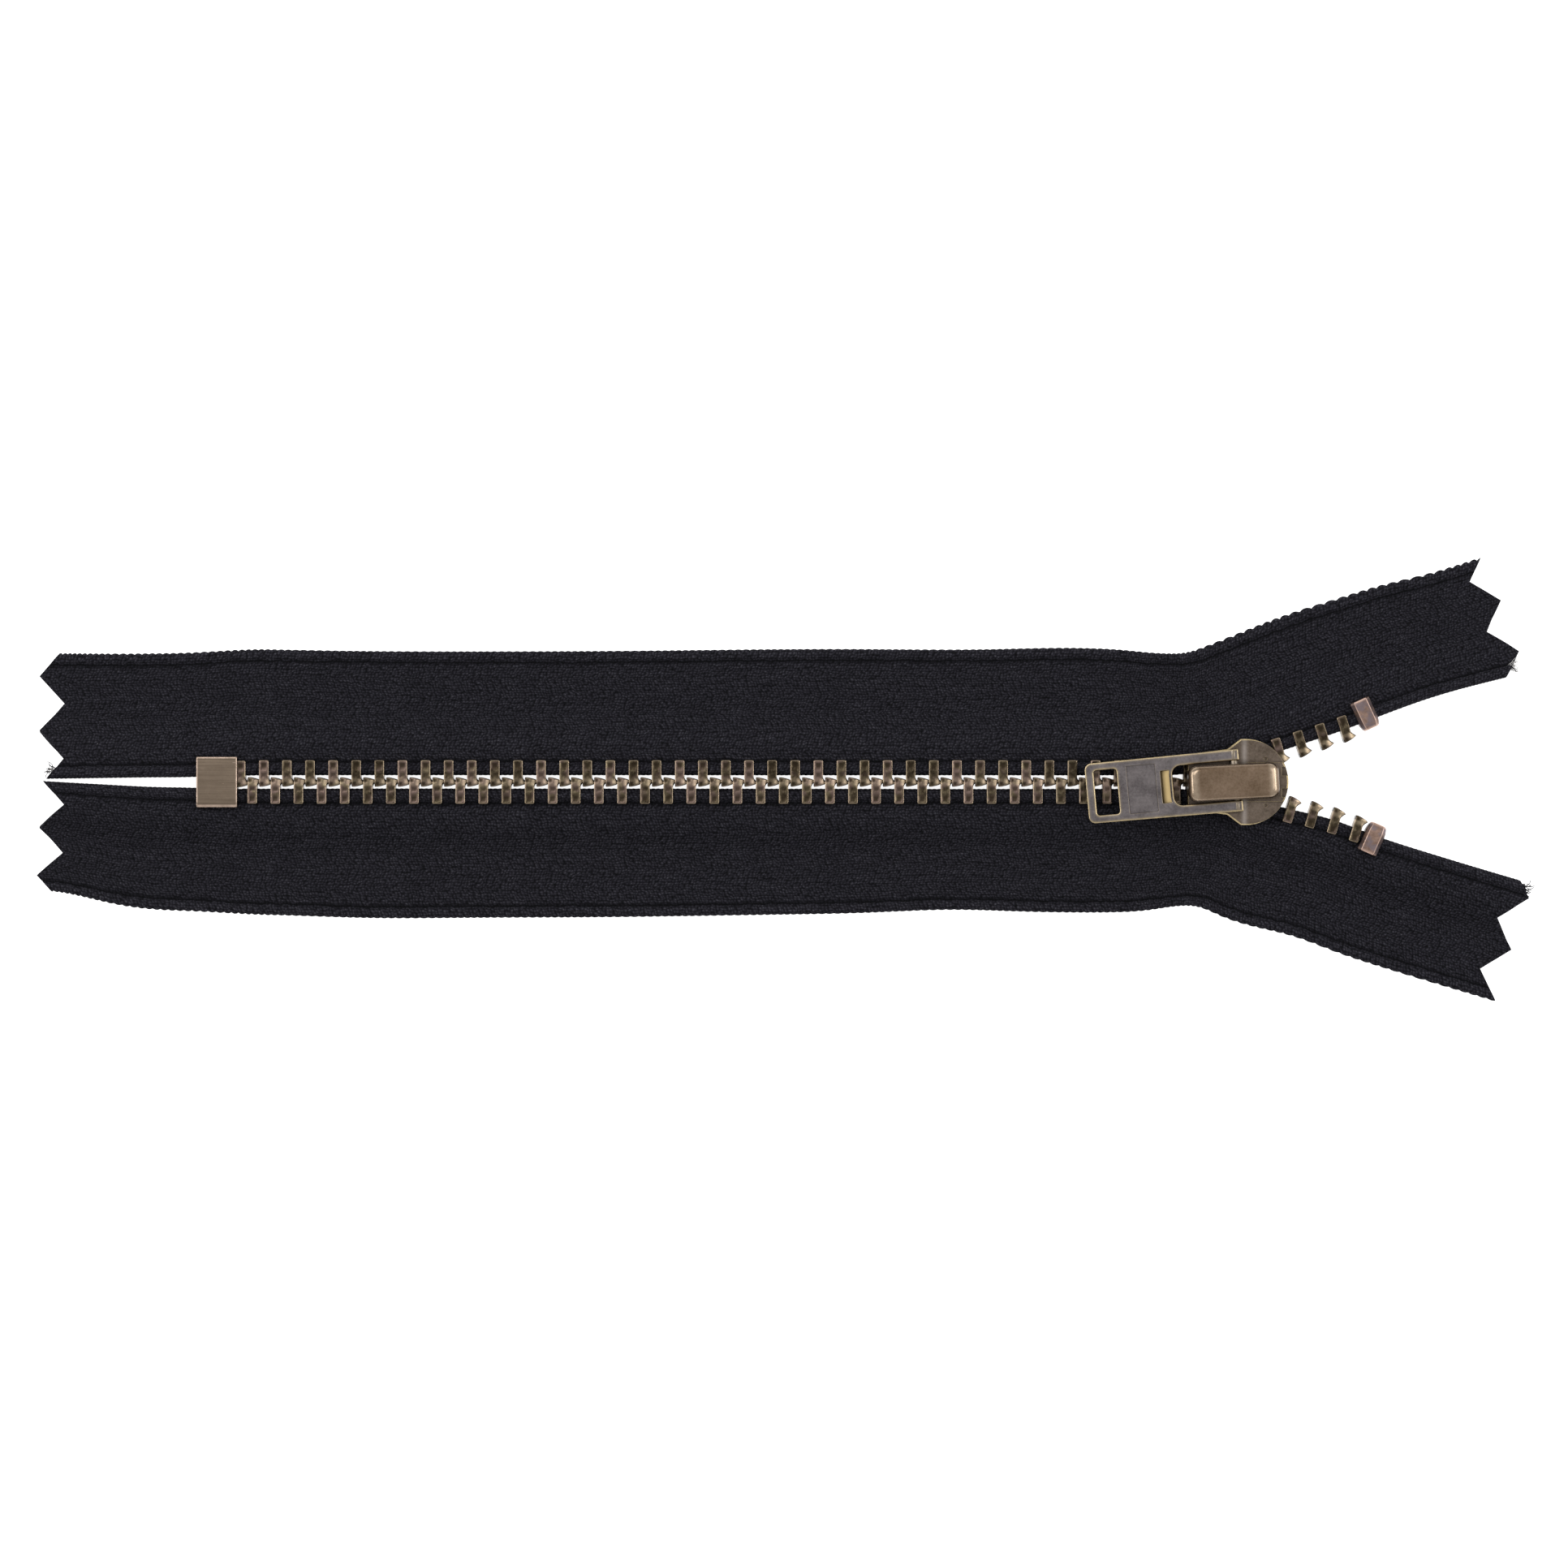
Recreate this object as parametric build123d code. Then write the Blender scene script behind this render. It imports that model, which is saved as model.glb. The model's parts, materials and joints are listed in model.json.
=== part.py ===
from build123d import *

import math
import os

# Metal jeans zipper, closed as far as its slider and open above it, lying face up.
# Units are millimetres. X runs along the chain from the bottom stop to the top stops, Y is
# positive on the left side, and Z is up from the surface the tapes lie on.
# Everything is first laid out with X = 0 at the first tooth of the left side, and moved at
# the end so that the origin is at the middle of the bottom of the bounding box.
# The left side is built, and the right side is the mirror image of a strip built like it.

# ---------------------------------------------------------------- chain
tooth_pitch = 2.9
teeth_per_side = 49
closed_teeth = 41  # whole teeth of each side between the bottom stop and the slider's bend
teeth_per_group = 6
leg_width = 1.22
leg_reach = 1.08  # from the middle of the bead out to the end of a leg
tip_reach = 2.27  # from the middle of the bead in to the tip of a head
tooth_height = 2.5
tooth_edge = 0.09  # chamfer of a tooth's upper and lower outline
nib_length = 0.88  # how far the head stands ahead of the leg
nib_setback = 0.88  # how far the nib's point lies behind the tip
nib_neck = 0.62  # where the head's flare leaves the leg, from the middle of the bead
flare_radius = 1.012  # of the hollow between the leg and the nib
tip_radius = 3.66  # of the round end of the head
nib_tip_height = 0.6
nib_slope_start = 0.0  # where the nib starts to thin, from the middle of the leg
nib_clearance = 0.05
pocket_depth = 0.7
pocket_edge = 1.4  # how near to the bead the pocket reaches
dimple_radius = 0.32
dimple_depth = 0.1
dimple_place = 0.62  # from the middle of the bead

# ---------------------------------------------------------------- tape
bead_spacing = 3.44  # between the middles of the two beads
bead_radius = 0.75
bead_clearance = 0.03  # between a bead or tape and what is clamped on it
cord_radius = 0.42
cord_clearance = 0.03
tape_thickness = 0.6
tape_reach = 14.7  # from the middle of the bead to the selvedge
chain_margin = 2.6  # tape that stays level with the chain, from the middle of the bead
slope_width = 4.0
left_tail_length = 25.4  # from the first left tooth to the pinked end
right_tail_length = 24.4
tail_turn_angle = 6.0  # how far the right tail turns in, past the bottom stop
tail_turn_length = 8.0
pinking_pitch = 6.8
pinking_depth = 3.1
corner_room = 0.3  # from the selvedge to the centre of the bend at the slider
left_spread_angle = 17.6
right_spread_angle = 16.8
left_arm_length = 39.0  # from the end of the bend to the pinked end
right_arm_length = 38.4
left_tail_point = 4.9  # from the middle of the bead to one point of the pinking
right_tail_point = 5.2
left_arm_point = 2.7
right_arm_point = 0.5

# ---------------------------------------------------------------- stops
stop_length = 4.95
stop_width = 6.3
stop_height = 3.0
stop_gap = 0.12  # from the bottom stop to the first leg
stop_edge = 0.3
end_clip_length = 2.42
end_clip_inner = 1.65  # from the middle of the bead in to the clip's end
end_clip_outer = 2.1
end_clip_height = 2.9
end_clip_bevel = 0.42
end_clip_corner = 0.5
left_end_clip_gap = 0.35  # from the last nib to the clip
right_end_clip_gap = 0.1

# ---------------------------------------------------------------- slider
blade_thickness = 1.0
chain_clearance = 0.12  # above, below and beside the teeth inside the slider
slot_clearance = 0.2  # above and below the tape, between the flanges
slider_length = 12.7
slider_rear_width = 7.0
slider_waist_width = 8.2
slider_width = 10.8
shoulder_length = 1.7  # from the waist to the shoulder
nose_side_length = 0.6  # straight side between the shoulder and the round nose
slider_rear_overhang = 3.06  # from the slider's rear to the middle of the bend
slider_rear_corner = 0.6
slider_side_corner = 0.4
slider_edge = 0.18
wing_length = 5.7  # from the nose back to where the wings start to slope down
wing_drop = 0.35
wing_inner = 2.45  # half the width of the land between the wings
wing_dot_setback = 2.87  # from the nose
wing_dot_offset = 2.9
wing_dot_radius = 0.2
wing_dot_depth = 0.1
nose_notch_length = 0.85
nose_notch_inner = 0.8
nose_notch_width = 1.1
nose_notch_depth = 0.4

# ---------------------------------------------------------------- crown
crown_start = 0.3  # from the slider's rear
crown_nose_margin = 1.0  # from the crown's front to the slider's nose
crown_width = 4.4
crown_yaw = 2.9
crown_wall = 0.5
crown_end_wall = 0.6
crown_corner = 0.9
crown_edge = 0.7
pin_slot_clearance = 0.25

# ---------------------------------------------------------------- pull tab
pin_place = 6.0  # from the slider's rear
pin_lift = 1.01  # from the upper blade to the middle of the pin
pin_radius = 0.5
eye_radius = 0.7
tab_reach = 18.7  # from the pin to the free end
tab_width = 7.7
tab_thickness = 1.0
tab_yaw = 5.2
tab_stop_clearance = 0.09  # between the tab's free end and the bottom stop that it passes over
tab_corner = 0.8
tab_edge = 0.16
fork_depth = 7.8  # from the pin back to the end of the fork
fork_width = 5.0
fork_corner = 1.05
end_bar = 1.1
window_length = 2.8
window_width = 5.66
window_corner = 0.35
panel_start = 13.5  # from the pin
panel_length = 3.6
panel_width = 6.0
panel_depth = 0.14
bevel_length = 1.5
bevel_width = 4.1
bevel_depth = 0.5

# ---------------------------------------------------------------- lock
pawl_pivot_lift = 0.76
pawl_barrel_radius = 0.4
pawl_barrel_length = 2.4
pawl_width = 1.8
pawl_thickness = 0.35
pawl_pin_clearance = 0.1
pawl_knee = 1.5  # from the barrel to the level part of the arm
prong_length = 0.6  # along the chain
prong_width = 0.5
prong_offset = 1.45  # from the middle of the chain
prong_bead_clearance = 0.1
prong_hole_clearance = 0.22
pawl_rise = 0.62  # how far the prong lifts, to stand clear of the teeth
pawl_rise_clearance = 0.08
running_clearance = 0.05
spring_thickness = 0.12
spring_width = 1.2
spring_foot = 1.8
spring_reach = 5.6
lug_width = 2.6
lug_length = 1.2
lug_clearance = 0.1  # between the front lug and the crown's front wall
rear_lug_length = 0.8
rear_lug_height = 0.9

# ---------------------------------------------------------------- worked out
SIDES = ("left", "right")
bead_offset = bead_spacing / 2
slider_channel = tooth_height + 2 * chain_clearance
chain_level = blade_thickness + slider_channel / 2
blade_top = 2 * blade_thickness + slider_channel
first_tooth = {"left": 0.0, "right": tooth_pitch / 2}
tail_length = {"left": left_tail_length, "right": right_tail_length}
spread_angle = {"left": left_spread_angle, "right": right_spread_angle}
arm_length = {"left": left_arm_length, "right": right_arm_length}
tail_point = {"left": left_tail_point, "right": right_tail_point}
arm_point = {"left": left_arm_point, "right": right_arm_point}
end_clip_gap = {"left": left_end_clip_gap, "right": right_end_clip_gap}
bend_radius = tape_reach + corner_room
bend_vertex = {side: first_tooth[side] + (closed_teeth + 1) * tooth_pitch for side in SIDES}
bend_tangent = {side: bend_radius * math.tan(math.radians(spread_angle[side]) / 2) for side in SIDES}
bend_start = {side: bend_vertex[side] - bend_tangent[side] for side in SIDES}
bend_length = {side: bend_radius * math.radians(spread_angle[side]) for side in SIDES}
tape_split = {side: first_tooth[side] + tooth_pitch / 2 for side in SIDES}
slider_rear = bend_vertex["left"] - slider_rear_overhang
stop_end = first_tooth["left"] - leg_width / 2 - stop_gap
stop_top = chain_level + stop_height / 2
nose_centre = slider_length - slider_width / 2
shoulder_place = nose_centre - nose_side_length
waist_place = shoulder_place - shoulder_length
wing_bend = slider_length - wing_length
crown_end = slider_length - crown_nose_margin
pin_level = blade_top + pin_lift
tab_drop = pin_level - stop_top - tab_stop_clearance - tab_thickness / 2
tab_tilt = math.degrees(math.asin(tab_drop / tab_reach))
pawl_pivot = crown_end - crown_end_wall - lug_clearance - lug_length / 2
pawl_bottom = pin_level + pin_radius + pawl_pin_clearance
pawl_top = pawl_bottom + pawl_thickness
crown_ceiling = pawl_top + pawl_rise + pawl_rise_clearance
crown_top = crown_ceiling + crown_wall
far = 3 * tape_reach  # past any edge that a cutter has to clear


def box(x_range, y_range, z_range):
    """Block between two corners."""
    size = [high - low for low, high in (x_range, y_range, z_range)]
    middle = [(high + low) / 2 for low, high in (x_range, y_range, z_range)]
    return Pos(*middle) * Box(*size)


def across(points, y_range):
    """Prism whose outline is drawn in X and Z and which runs from one Y to another."""
    outline = Plane.XZ * Polygon(*points, align=None)
    return Pos(0, y_range[0], 0) * extrude(outline, y_range[1] - y_range[0], dir=(0, 1, 0))


def lying_cylinder(radius, middle, length, along):
    """Cylinder about a line through middle, parallel to X or Y."""
    turn = Rot(0, 90, 0) if along == "x" else Rot(90, 0, 0)
    return Pos(*middle) * turn * Cylinder(radius, length)


# ================================================================ strips along the bead
def straight_step(place, length):
    return place * Pos(length, 0, 0)


def curved_step(place, radius, angle):
    """Place reached after an arc. A positive radius turns towards the selvedge."""
    return place * Pos(0, radius, 0) * Rot(0, 0, angle) * Pos(0, -radius, 0)


def strip(section, start, runs):
    """Section carried from start along runs of (length, radius), radius None being straight."""
    place = start
    solids = []
    for length, radius in runs:
        face = place * (Plane.YZ * section)
        if radius is None:
            reached = straight_step(place, length)
            solids.append(extrude(face, length, dir=reached.position - place.position))
            place = reached
        else:
            angle = math.degrees(length / radius)
            centre = (place * Pos(0, radius, 0)).position
            direction = (0, 0, 1) if radius > 0 else (0, 0, -1)
            solids.append(revolve(face, Axis(centre, direction), abs(angle)))
            place = curved_step(place, radius, angle)
    whole = solids[0]
    for solid in solids[1:]:
        whole = whole + solid
    return whole, place


def tape_section():
    """Level by the chain, sloping down to a margin that lies on the surface, with the bead."""
    low = chain_level - tape_thickness / 2
    high = chain_level + tape_thickness / 2
    foot = chain_margin + slope_width
    web = Polygon(
        (0, low),
        (chain_margin, low),
        (foot, 0),
        (tape_reach, 0),
        (tape_reach, tape_thickness),
        (foot, tape_thickness),
        (chain_margin, high),
        (0, high),
        align=None,
    )
    bead = Pos(0, chain_level) * Circle(bead_radius)
    bore = Pos(0, chain_level) * Circle(cord_radius + cord_clearance)
    return web + bead - bore


def cord_section():
    return Pos(0, chain_level) * Circle(cord_radius)


def pinking(end, one_point):
    """Cutter that trims a strip to points a pinking pitch apart, one of them at one_point."""
    past_bead = one_point + 2 * bead_radius
    first = one_point - pinking_pitch * math.ceil(past_bead / pinking_pitch)
    count = math.ceil((tape_reach + 2 * pinking_pitch - first) / pinking_pitch)
    edge = []
    for index in range(count):
        point = first + index * pinking_pitch
        edge.append((0, point))
        edge.append((-pinking_depth, point + pinking_pitch / 2))
    outline = edge + [(far, edge[-1][1]), (far, edge[0][1])]
    return end * extrude(Polygon(*outline, align=None), far, dir=(0, 0, 1))


def left_or_right(side, shape):
    return shape if side == "left" else mirror(shape, about=Plane.XZ)


def tail_runs(side):
    """From the split between the first teeth to the bottom end."""
    length = tail_length[side] + tape_split[side]
    if side == "left":
        return [(length, None)]
    past_stop = tape_split[side] - stop_end + stop_length
    turned = length - past_stop - tail_turn_length
    return [
        (past_stop, None),
        (tail_turn_length, -tail_turn_length / math.radians(tail_turn_angle)),
        (turned, None),
    ]


def tail_strip(side, section):
    """Strip that runs towards -X, built towards +X and turned over end for end."""
    start = Pos(-tape_split[side], bead_offset, 0)
    whole, end = strip(section, start, tail_runs(side))
    trimmed = whole - pinking(end, tail_point[side])
    return left_or_right(side, mirror(trimmed, about=Plane.YZ))


def side_strip(side, section):
    start = Pos(tape_split[side], bead_offset, 0)
    runs = [(bend_start[side] - tape_split[side], None)]
    whole, _ = strip(section, start, runs)
    return left_or_right(side, whole)


def arm_runs(side):
    return [(bend_length[side], bend_radius), (arm_length[side], None)]


def arm_strip(side, section):
    start = Pos(bend_start[side], bead_offset, 0)
    whole, end = strip(section, start, arm_runs(side))
    trimmed = whole - pinking(end, arm_point[side])
    return left_or_right(side, trimmed)


# ================================================================ teeth
def bead_place(side, distance):
    """Place on the bead of a left-hand strip, by distance along it from the first left tooth."""
    start = Pos(0, bead_offset, 0)
    if distance <= bend_start[side]:
        return straight_step(start, distance)
    start = straight_step(start, bend_start[side])
    past = distance - bend_start[side]
    if past <= bend_length[side]:
        return curved_step(start, bend_radius, math.degrees(past / bend_radius))
    start = curved_step(start, bend_radius, spread_angle[side])
    return straight_step(start, past - bend_length[side])


def tooth_outline():
    """Leg, neck and head from above, with the nib ahead of the leg."""
    half = leg_width / 2
    point = (half + nib_length, nib_setback - tip_reach)
    neck = (half, -nib_neck)
    corner = (-half, -tip_reach)
    flare = RadiusArc(neck, point, -flare_radius)
    tip = RadiusArc(point, corner, tip_radius)
    leg = Polyline(corner, (-half, leg_reach), (half, leg_reach), neck)
    return make_face([flare, tip, leg])


def nib_cutters():
    """Wedges that thin the head from above and below towards the nib's point."""
    start = nib_slope_start
    end = leg_width / 2 + nib_length
    top = tooth_height / 2
    point = nib_tip_height / 2
    drop = (top - point) / (end - start)
    past = end + nib_length
    wedge = [(start, top), (past, top - drop * (past - start)), (past, far), (start, far)]
    upper = across(wedge, (-tip_reach - nib_length, -nib_neck))
    return upper + mirror(upper, about=Plane.XY)


def pocket_cutter():
    """Wedge-shaped pocket behind the head, which takes the nib of the tooth before."""
    half = leg_width / 2
    nib_end = half + nib_length
    drop = (tooth_height - nib_tip_height) / 2 / (nib_end - nib_slope_start)
    mouth = nib_tip_height / 2 + drop * (nib_end + half - tooth_pitch / 2) + nib_clearance
    depth = pocket_depth
    floor = mouth - drop * depth
    outline = [
        (-half - nib_clearance, -mouth - drop * nib_clearance),
        (-half + depth, -floor),
        (-half + depth, floor),
        (-half - nib_clearance, mouth + drop * nib_clearance),
    ]
    return across(outline, (-tip_reach - nib_clearance, -pocket_edge))


def bead_cutter(length, reach):
    """Room for the bead and for the tape that leaves it, along X."""
    radius = bead_radius + bead_clearance
    half_slot = tape_thickness / 2 + bead_clearance
    bore = lying_cylinder(radius, (0, 0, 0), length, "x")
    slot = box((-length / 2, length / 2), (0, reach), (-half_slot, half_slot))
    return bore + slot


def tooth():
    """One tooth, with the middle of its bead at the origin."""
    half = tooth_height / 2
    blank = Pos(0, 0, -half) * extrude(tooth_outline(), tooth_height, dir=(0, 0, 1))
    rims = blank.edges().group_by(Axis.Z)
    blank = chamfer(rims[0] + rims[-1], tooth_edge)
    ball = dimple_radius ** 2 / (2 * dimple_depth) + dimple_depth / 2
    mark = Pos(0, dimple_place, half - dimple_depth + ball) * Sphere(ball)
    marks = mark + mirror(mark, about=Plane.XY)
    bead_room = bead_cutter(2 * leg_width, 2 * leg_reach)
    return blank - nib_cutters() - pocket_cutter() - bead_room - marks


def teeth(side, first, last):
    """Teeth numbered from first to last on one side, as separate solids."""
    pattern = tooth()
    solids = []
    for number in range(first, last + 1):
        place = bead_place(side, first_tooth[side] + number * tooth_pitch)
        solids.append(left_or_right(side, place * Pos(0, 0, chain_level) * pattern))
    return Compound(children=solids)


# ================================================================ stops
def bottom_stop():
    """Clip folded round both beads."""
    middle = stop_end - stop_length / 2
    blank = Box(stop_length, stop_width, stop_height)
    blank = chamfer(blank.edges().filter_by(Axis.X), stop_edge)
    room = bead_cutter(2 * stop_length, stop_width)
    left_room = Pos(0, bead_offset, 0) * room
    clip = blank - left_room - mirror(left_room, about=Plane.XZ)
    return Pos(middle, 0, chain_level) * clip


def top_stop(side):
    """Clip folded round one bead, past the last tooth."""
    blank = box(
        (-end_clip_length / 2, end_clip_length / 2),
        (-end_clip_inner, end_clip_outer),
        (-end_clip_height / 2, end_clip_height / 2),
    )
    fold = blank.faces().sort_by(Axis.Y)[0].edges().filter_by(Axis.Z)
    blank = fillet(fold, end_clip_corner)
    sides = [edge for edge in blank.edges().filter_by(Axis.Y) if edge.length > end_clip_inner]
    blank = chamfer(sides, end_clip_bevel)
    clip = blank - bead_cutter(2 * end_clip_length, 2 * end_clip_outer)
    last = first_tooth[side] + (teeth_per_side - 1) * tooth_pitch
    nib_end = leg_width / 2 + nib_length
    distance = last + nib_end + end_clip_gap[side] + end_clip_length / 2
    place = bead_place(side, distance) * Pos(0, 0, chain_level)
    return left_or_right(side, place * clip)


# ================================================================ slider
def slider_outline():
    """Both blades from above, with the rear at X = 0."""
    wide = slider_width / 2
    edge = Polyline(
        (0, 0),
        (0, slider_rear_width / 2),
        (waist_place, slider_waist_width / 2),
        (shoulder_place, wide),
        (nose_centre, wide),
    )
    nose = CenterArc((nose_centre, 0), wide, 0, 90)
    half = make_face([edge, nose, Line((slider_length, 0), (0, 0))])
    outline = half + mirror(half, about=Plane.XZ)
    outline = fillet(outline.vertices().group_by(Axis.X)[0], slider_rear_corner)
    middle = (waist_place + shoulder_place) / 2
    by_middle = outline.vertices().sort_by(lambda corner: abs(corner.X - middle))
    return fillet(by_middle[:4], slider_side_corner)


def chain_room():
    """Space that the two rows of teeth and their tapes need through the slider, at its place."""
    inner = -tip_reach - chain_clearance
    outer = leg_reach + chain_clearance
    low = chain_level - slider_channel / 2
    row = Polygon(
        (inner, low),
        (outer, low),
        (outer, low + slider_channel),
        (inner, low + slider_channel),
        align=None,
    )
    half_slot = tape_thickness / 2 + slot_clearance
    slot = Polygon(
        (0, chain_level - half_slot),
        (tape_reach, chain_level - half_slot),
        (tape_reach, chain_level + half_slot),
        (0, chain_level + half_slot),
        align=None,
    )
    rooms = []
    for side in SIDES:
        before = slider_rear - slider_length
        start = Pos(before, bead_offset, 0)
        lead = (bend_start[side] - before, None)
        for section in (row, slot):
            room, _ = strip(section, start, [lead] + arm_runs(side))
            rooms += [room, mirror(room, about=Plane.XZ)]
    return rooms


def wing_cutter():
    """Wedge that slopes the left wing down towards the nose."""
    end = slider_length + slider_edge
    outline = [(wing_bend, blade_top), (end, blade_top - wing_drop), (end, far), (wing_bend, far)]
    return across(outline, (wing_inner, slider_width))


def nose_notch():
    start = slider_length - nose_notch_length
    width = (nose_notch_inner, nose_notch_inner + nose_notch_width)
    return box((start, slider_length), width, (blade_top - nose_notch_depth, blade_top))


def slider_body():
    block = extrude(slider_outline(), blade_top, dir=(0, 0, 1))
    rims = block.edges().group_by(Axis.Z)
    block = chamfer(rims[0] + rims[-1], slider_edge)
    dot_place = slider_length - wing_dot_setback
    dot_level = blade_top - wing_drop * (dot_place - wing_bend) / wing_length
    dot = Pos(dot_place, wing_dot_offset, dot_level) * Cylinder(wing_dot_radius, 2 * wing_dot_depth)
    for cutter in (wing_cutter(), nose_notch(), dot):
        block = block - cutter - mirror(cutter, about=Plane.XZ)
    half_lug = lug_width / 2
    pivot_level = blade_top + pawl_pivot_lift
    front_lug = box(
        (pawl_pivot - lug_length / 2, pawl_pivot + lug_length / 2),
        (-half_lug, half_lug),
        (blade_top, pivot_level),
    )
    cradle = lying_cylinder(
        pawl_barrel_radius + running_clearance, (pawl_pivot, 0, pivot_level), far, "y"
    )
    rear_lug_start = crown_start + crown_end_wall + running_clearance
    rear_lug = box(
        (rear_lug_start, rear_lug_start + rear_lug_length),
        (-half_lug / 2, half_lug / 2),
        (blade_top, blade_top + rear_lug_height),
    )
    block = block + (front_lug - cradle) + rear_lug
    prong_x = slider_rear_overhang
    half_hole = prong_length / 2 + prong_hole_clearance
    half_hole_width = prong_width / 2 + prong_hole_clearance
    hole = box(
        (prong_x - half_hole, prong_x + half_hole),
        (-prong_offset - half_hole_width, -prong_offset + half_hole_width),
        (chain_level, blade_top + running_clearance),
    )
    body = Pos(slider_rear, 0, 0) * (block - hole)
    for room in chain_room():
        body = body - room
    return body


def crown():
    """Cap over the pin and the lock, seated on the upper blade."""
    half = crown_width / 2
    cap = box((crown_start, crown_end), (-half, half), (blade_top, crown_top))
    cap = fillet(cap.edges().filter_by(Axis.Z), crown_corner)
    cap = fillet(cap.edges().group_by(Axis.Z)[-1], crown_edge)
    inner = half - crown_wall
    cavity = box(
        (crown_start + crown_end_wall, crown_end - crown_end_wall),
        (-inner, inner),
        (blade_top, crown_ceiling),
    )
    room = pin_radius + pin_slot_clearance
    slot = box((pin_place - room, pin_place + room), (-half, half), (blade_top, pin_level + room))
    middle = Pos(pin_place, 0, 0)
    turned = middle * Rot(0, 0, crown_yaw) * middle.inverse() * (cap - cavity - slot)
    return Pos(slider_rear, 0, 0) * turned


def lock_spring():
    """Leaf spring: its foot lies on the crown's ceiling and its free end on the pawl."""
    foot_end = crown_end - crown_end_wall - running_clearance
    foot_start = foot_end - spring_foot
    tip = foot_start - spring_reach + spring_foot
    tip_level = pawl_top + running_clearance
    outline = [
        (foot_end, crown_ceiling),
        (foot_start, crown_ceiling),
        (tip, tip_level + spring_thickness),
        (tip, tip_level),
        (foot_start, crown_ceiling - spring_thickness),
        (foot_end, crown_ceiling - spring_thickness),
    ]
    leaf = across(outline, (-spring_width / 2, spring_width / 2))
    return Pos(slider_rear, 0, 0) * leaf


def lock_pawl():
    """Lever on a barrel by the nose, over the pin, with a prong that drops between two teeth."""
    prong_x = slider_rear_overhang
    rear = prong_x - prong_length / 2
    knee = pawl_pivot - pawl_knee
    pivot_level = blade_top + pawl_pivot_lift
    half = pawl_width / 2
    barrel = lying_cylinder(pawl_barrel_radius, (pawl_pivot, 0, pivot_level), pawl_barrel_length, "y")
    arm = across(
        [
            (rear, pawl_bottom),
            (knee, pawl_bottom),
            (pawl_pivot - pawl_barrel_radius / 2, pivot_level),
            (pawl_pivot + pawl_barrel_radius / 2, pivot_level + pawl_barrel_radius / 2),
            (knee + pawl_thickness / 2, pawl_top),
            (rear, pawl_top),
        ],
        (-half, half),
    )
    prong_bottom = chain_level + bead_radius + prong_bead_clearance
    outer = prong_offset + prong_width / 2
    side_arm = box((rear, prong_x + prong_length), (-outer, 0), (pawl_bottom, pawl_top))
    prong = box(
        (rear, rear + prong_length), (-outer, -outer + prong_width), (prong_bottom, pawl_top)
    )
    return Pos(slider_rear, 0, 0) * (barrel + arm + side_arm + prong)


# ================================================================ pull tab
def tab_place():
    """Place of the pin, turned as the tab lies."""
    return Pos(slider_rear + pin_place, 0, pin_level) * Rot(0, 0, tab_yaw) * Rot(0, -tab_tilt, 0)


def pull_tab():
    half = tab_width / 2
    half_thick = tab_thickness / 2
    plate = box((-tab_reach, 0), (-half, half), (-half_thick, half_thick))
    free_end = plate.faces().sort_by(Axis.X)[0].edges().filter_by(Axis.Z)
    plate = fillet(free_end, tab_corner)
    rims = plate.edges().group_by(Axis.Z)
    plate = chamfer(rims[0] + rims[-1], tab_edge)
    eyes = lying_cylinder(eye_radius, (0, 0, 0), tab_width - 2 * tab_edge, "y")
    fork = box((-fork_depth, far), (-fork_width / 2, fork_width / 2), (-far, far))
    fork = fillet(fork.faces().sort_by(Axis.X)[0].edges().filter_by(Axis.Z), fork_corner)
    window_start = end_bar - tab_reach
    window = box(
        (window_start, window_start + window_length),
        (-window_width / 2, window_width / 2),
        (-far, far),
    )
    window = fillet(window.edges().filter_by(Axis.Z), window_corner)
    panel = box(
        (-panel_start, panel_length - panel_start),
        (-panel_width / 2, panel_width / 2),
        (half_thick - panel_depth, half_thick),
    )
    bevel_start = -fork_depth - bevel_length
    past = bevel_length * running_clearance
    bevel = across(
        [
            (bevel_start, half_thick),
            (bevel_start + bevel_length + past, half_thick - bevel_depth),
            (bevel_start + bevel_length + past, half_thick),
        ],
        (-bevel_width / 2, bevel_width / 2),
    )
    pin = lying_cylinder(pin_radius, (0, 0, 0), fork_width + 2 * running_clearance, "y")
    tab = plate + eyes - fork - window - panel - mirror(panel, about=Plane.XY) - bevel + pin
    return tab_place() * tab


# ================================================================ nodes
def group_ranges():
    """First and last tooth of each group between the bottom teeth and the bend."""
    firsts = range(1, closed_teeth + 1, teeth_per_group)
    return [(first, min(first + teeth_per_group - 1, closed_teeth)) for first in firsts]


def build_nodes():
    """Every node by name, before the move to the origin."""
    built = {
        "bottom_stop": bottom_stop(),
        "slider_body": slider_body(),
        "slider_crown": crown(),
        "lock_spring": lock_spring(),
        "lock_pawl": lock_pawl(),
        "pull_tab": pull_tab(),
    }
    for side in SIDES:
        built[f"{side}_tail_tape"] = tail_strip(side, tape_section())
        built[f"{side}_tail_cord"] = tail_strip(side, cord_section())
        built[f"{side}_first_tooth"] = teeth(side, 0, 0)
        built[f"{side}_side_tape"] = side_strip(side, tape_section())
        built[f"{side}_side_cord"] = side_strip(side, cord_section())
        for number, (first, last) in enumerate(group_ranges(), start=1):
            built[f"{side}_teeth_{number}"] = teeth(side, first, last)
        built[f"{side}_arm_tape"] = arm_strip(side, tape_section())
        built[f"{side}_arm_cord"] = arm_strip(side, cord_section())
        built[f"{side}_open_teeth"] = teeth(side, closed_teeth + 1, teeth_per_side - 1)
        built[f"{side}_top_stop"] = top_stop(side)
    return built


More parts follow.
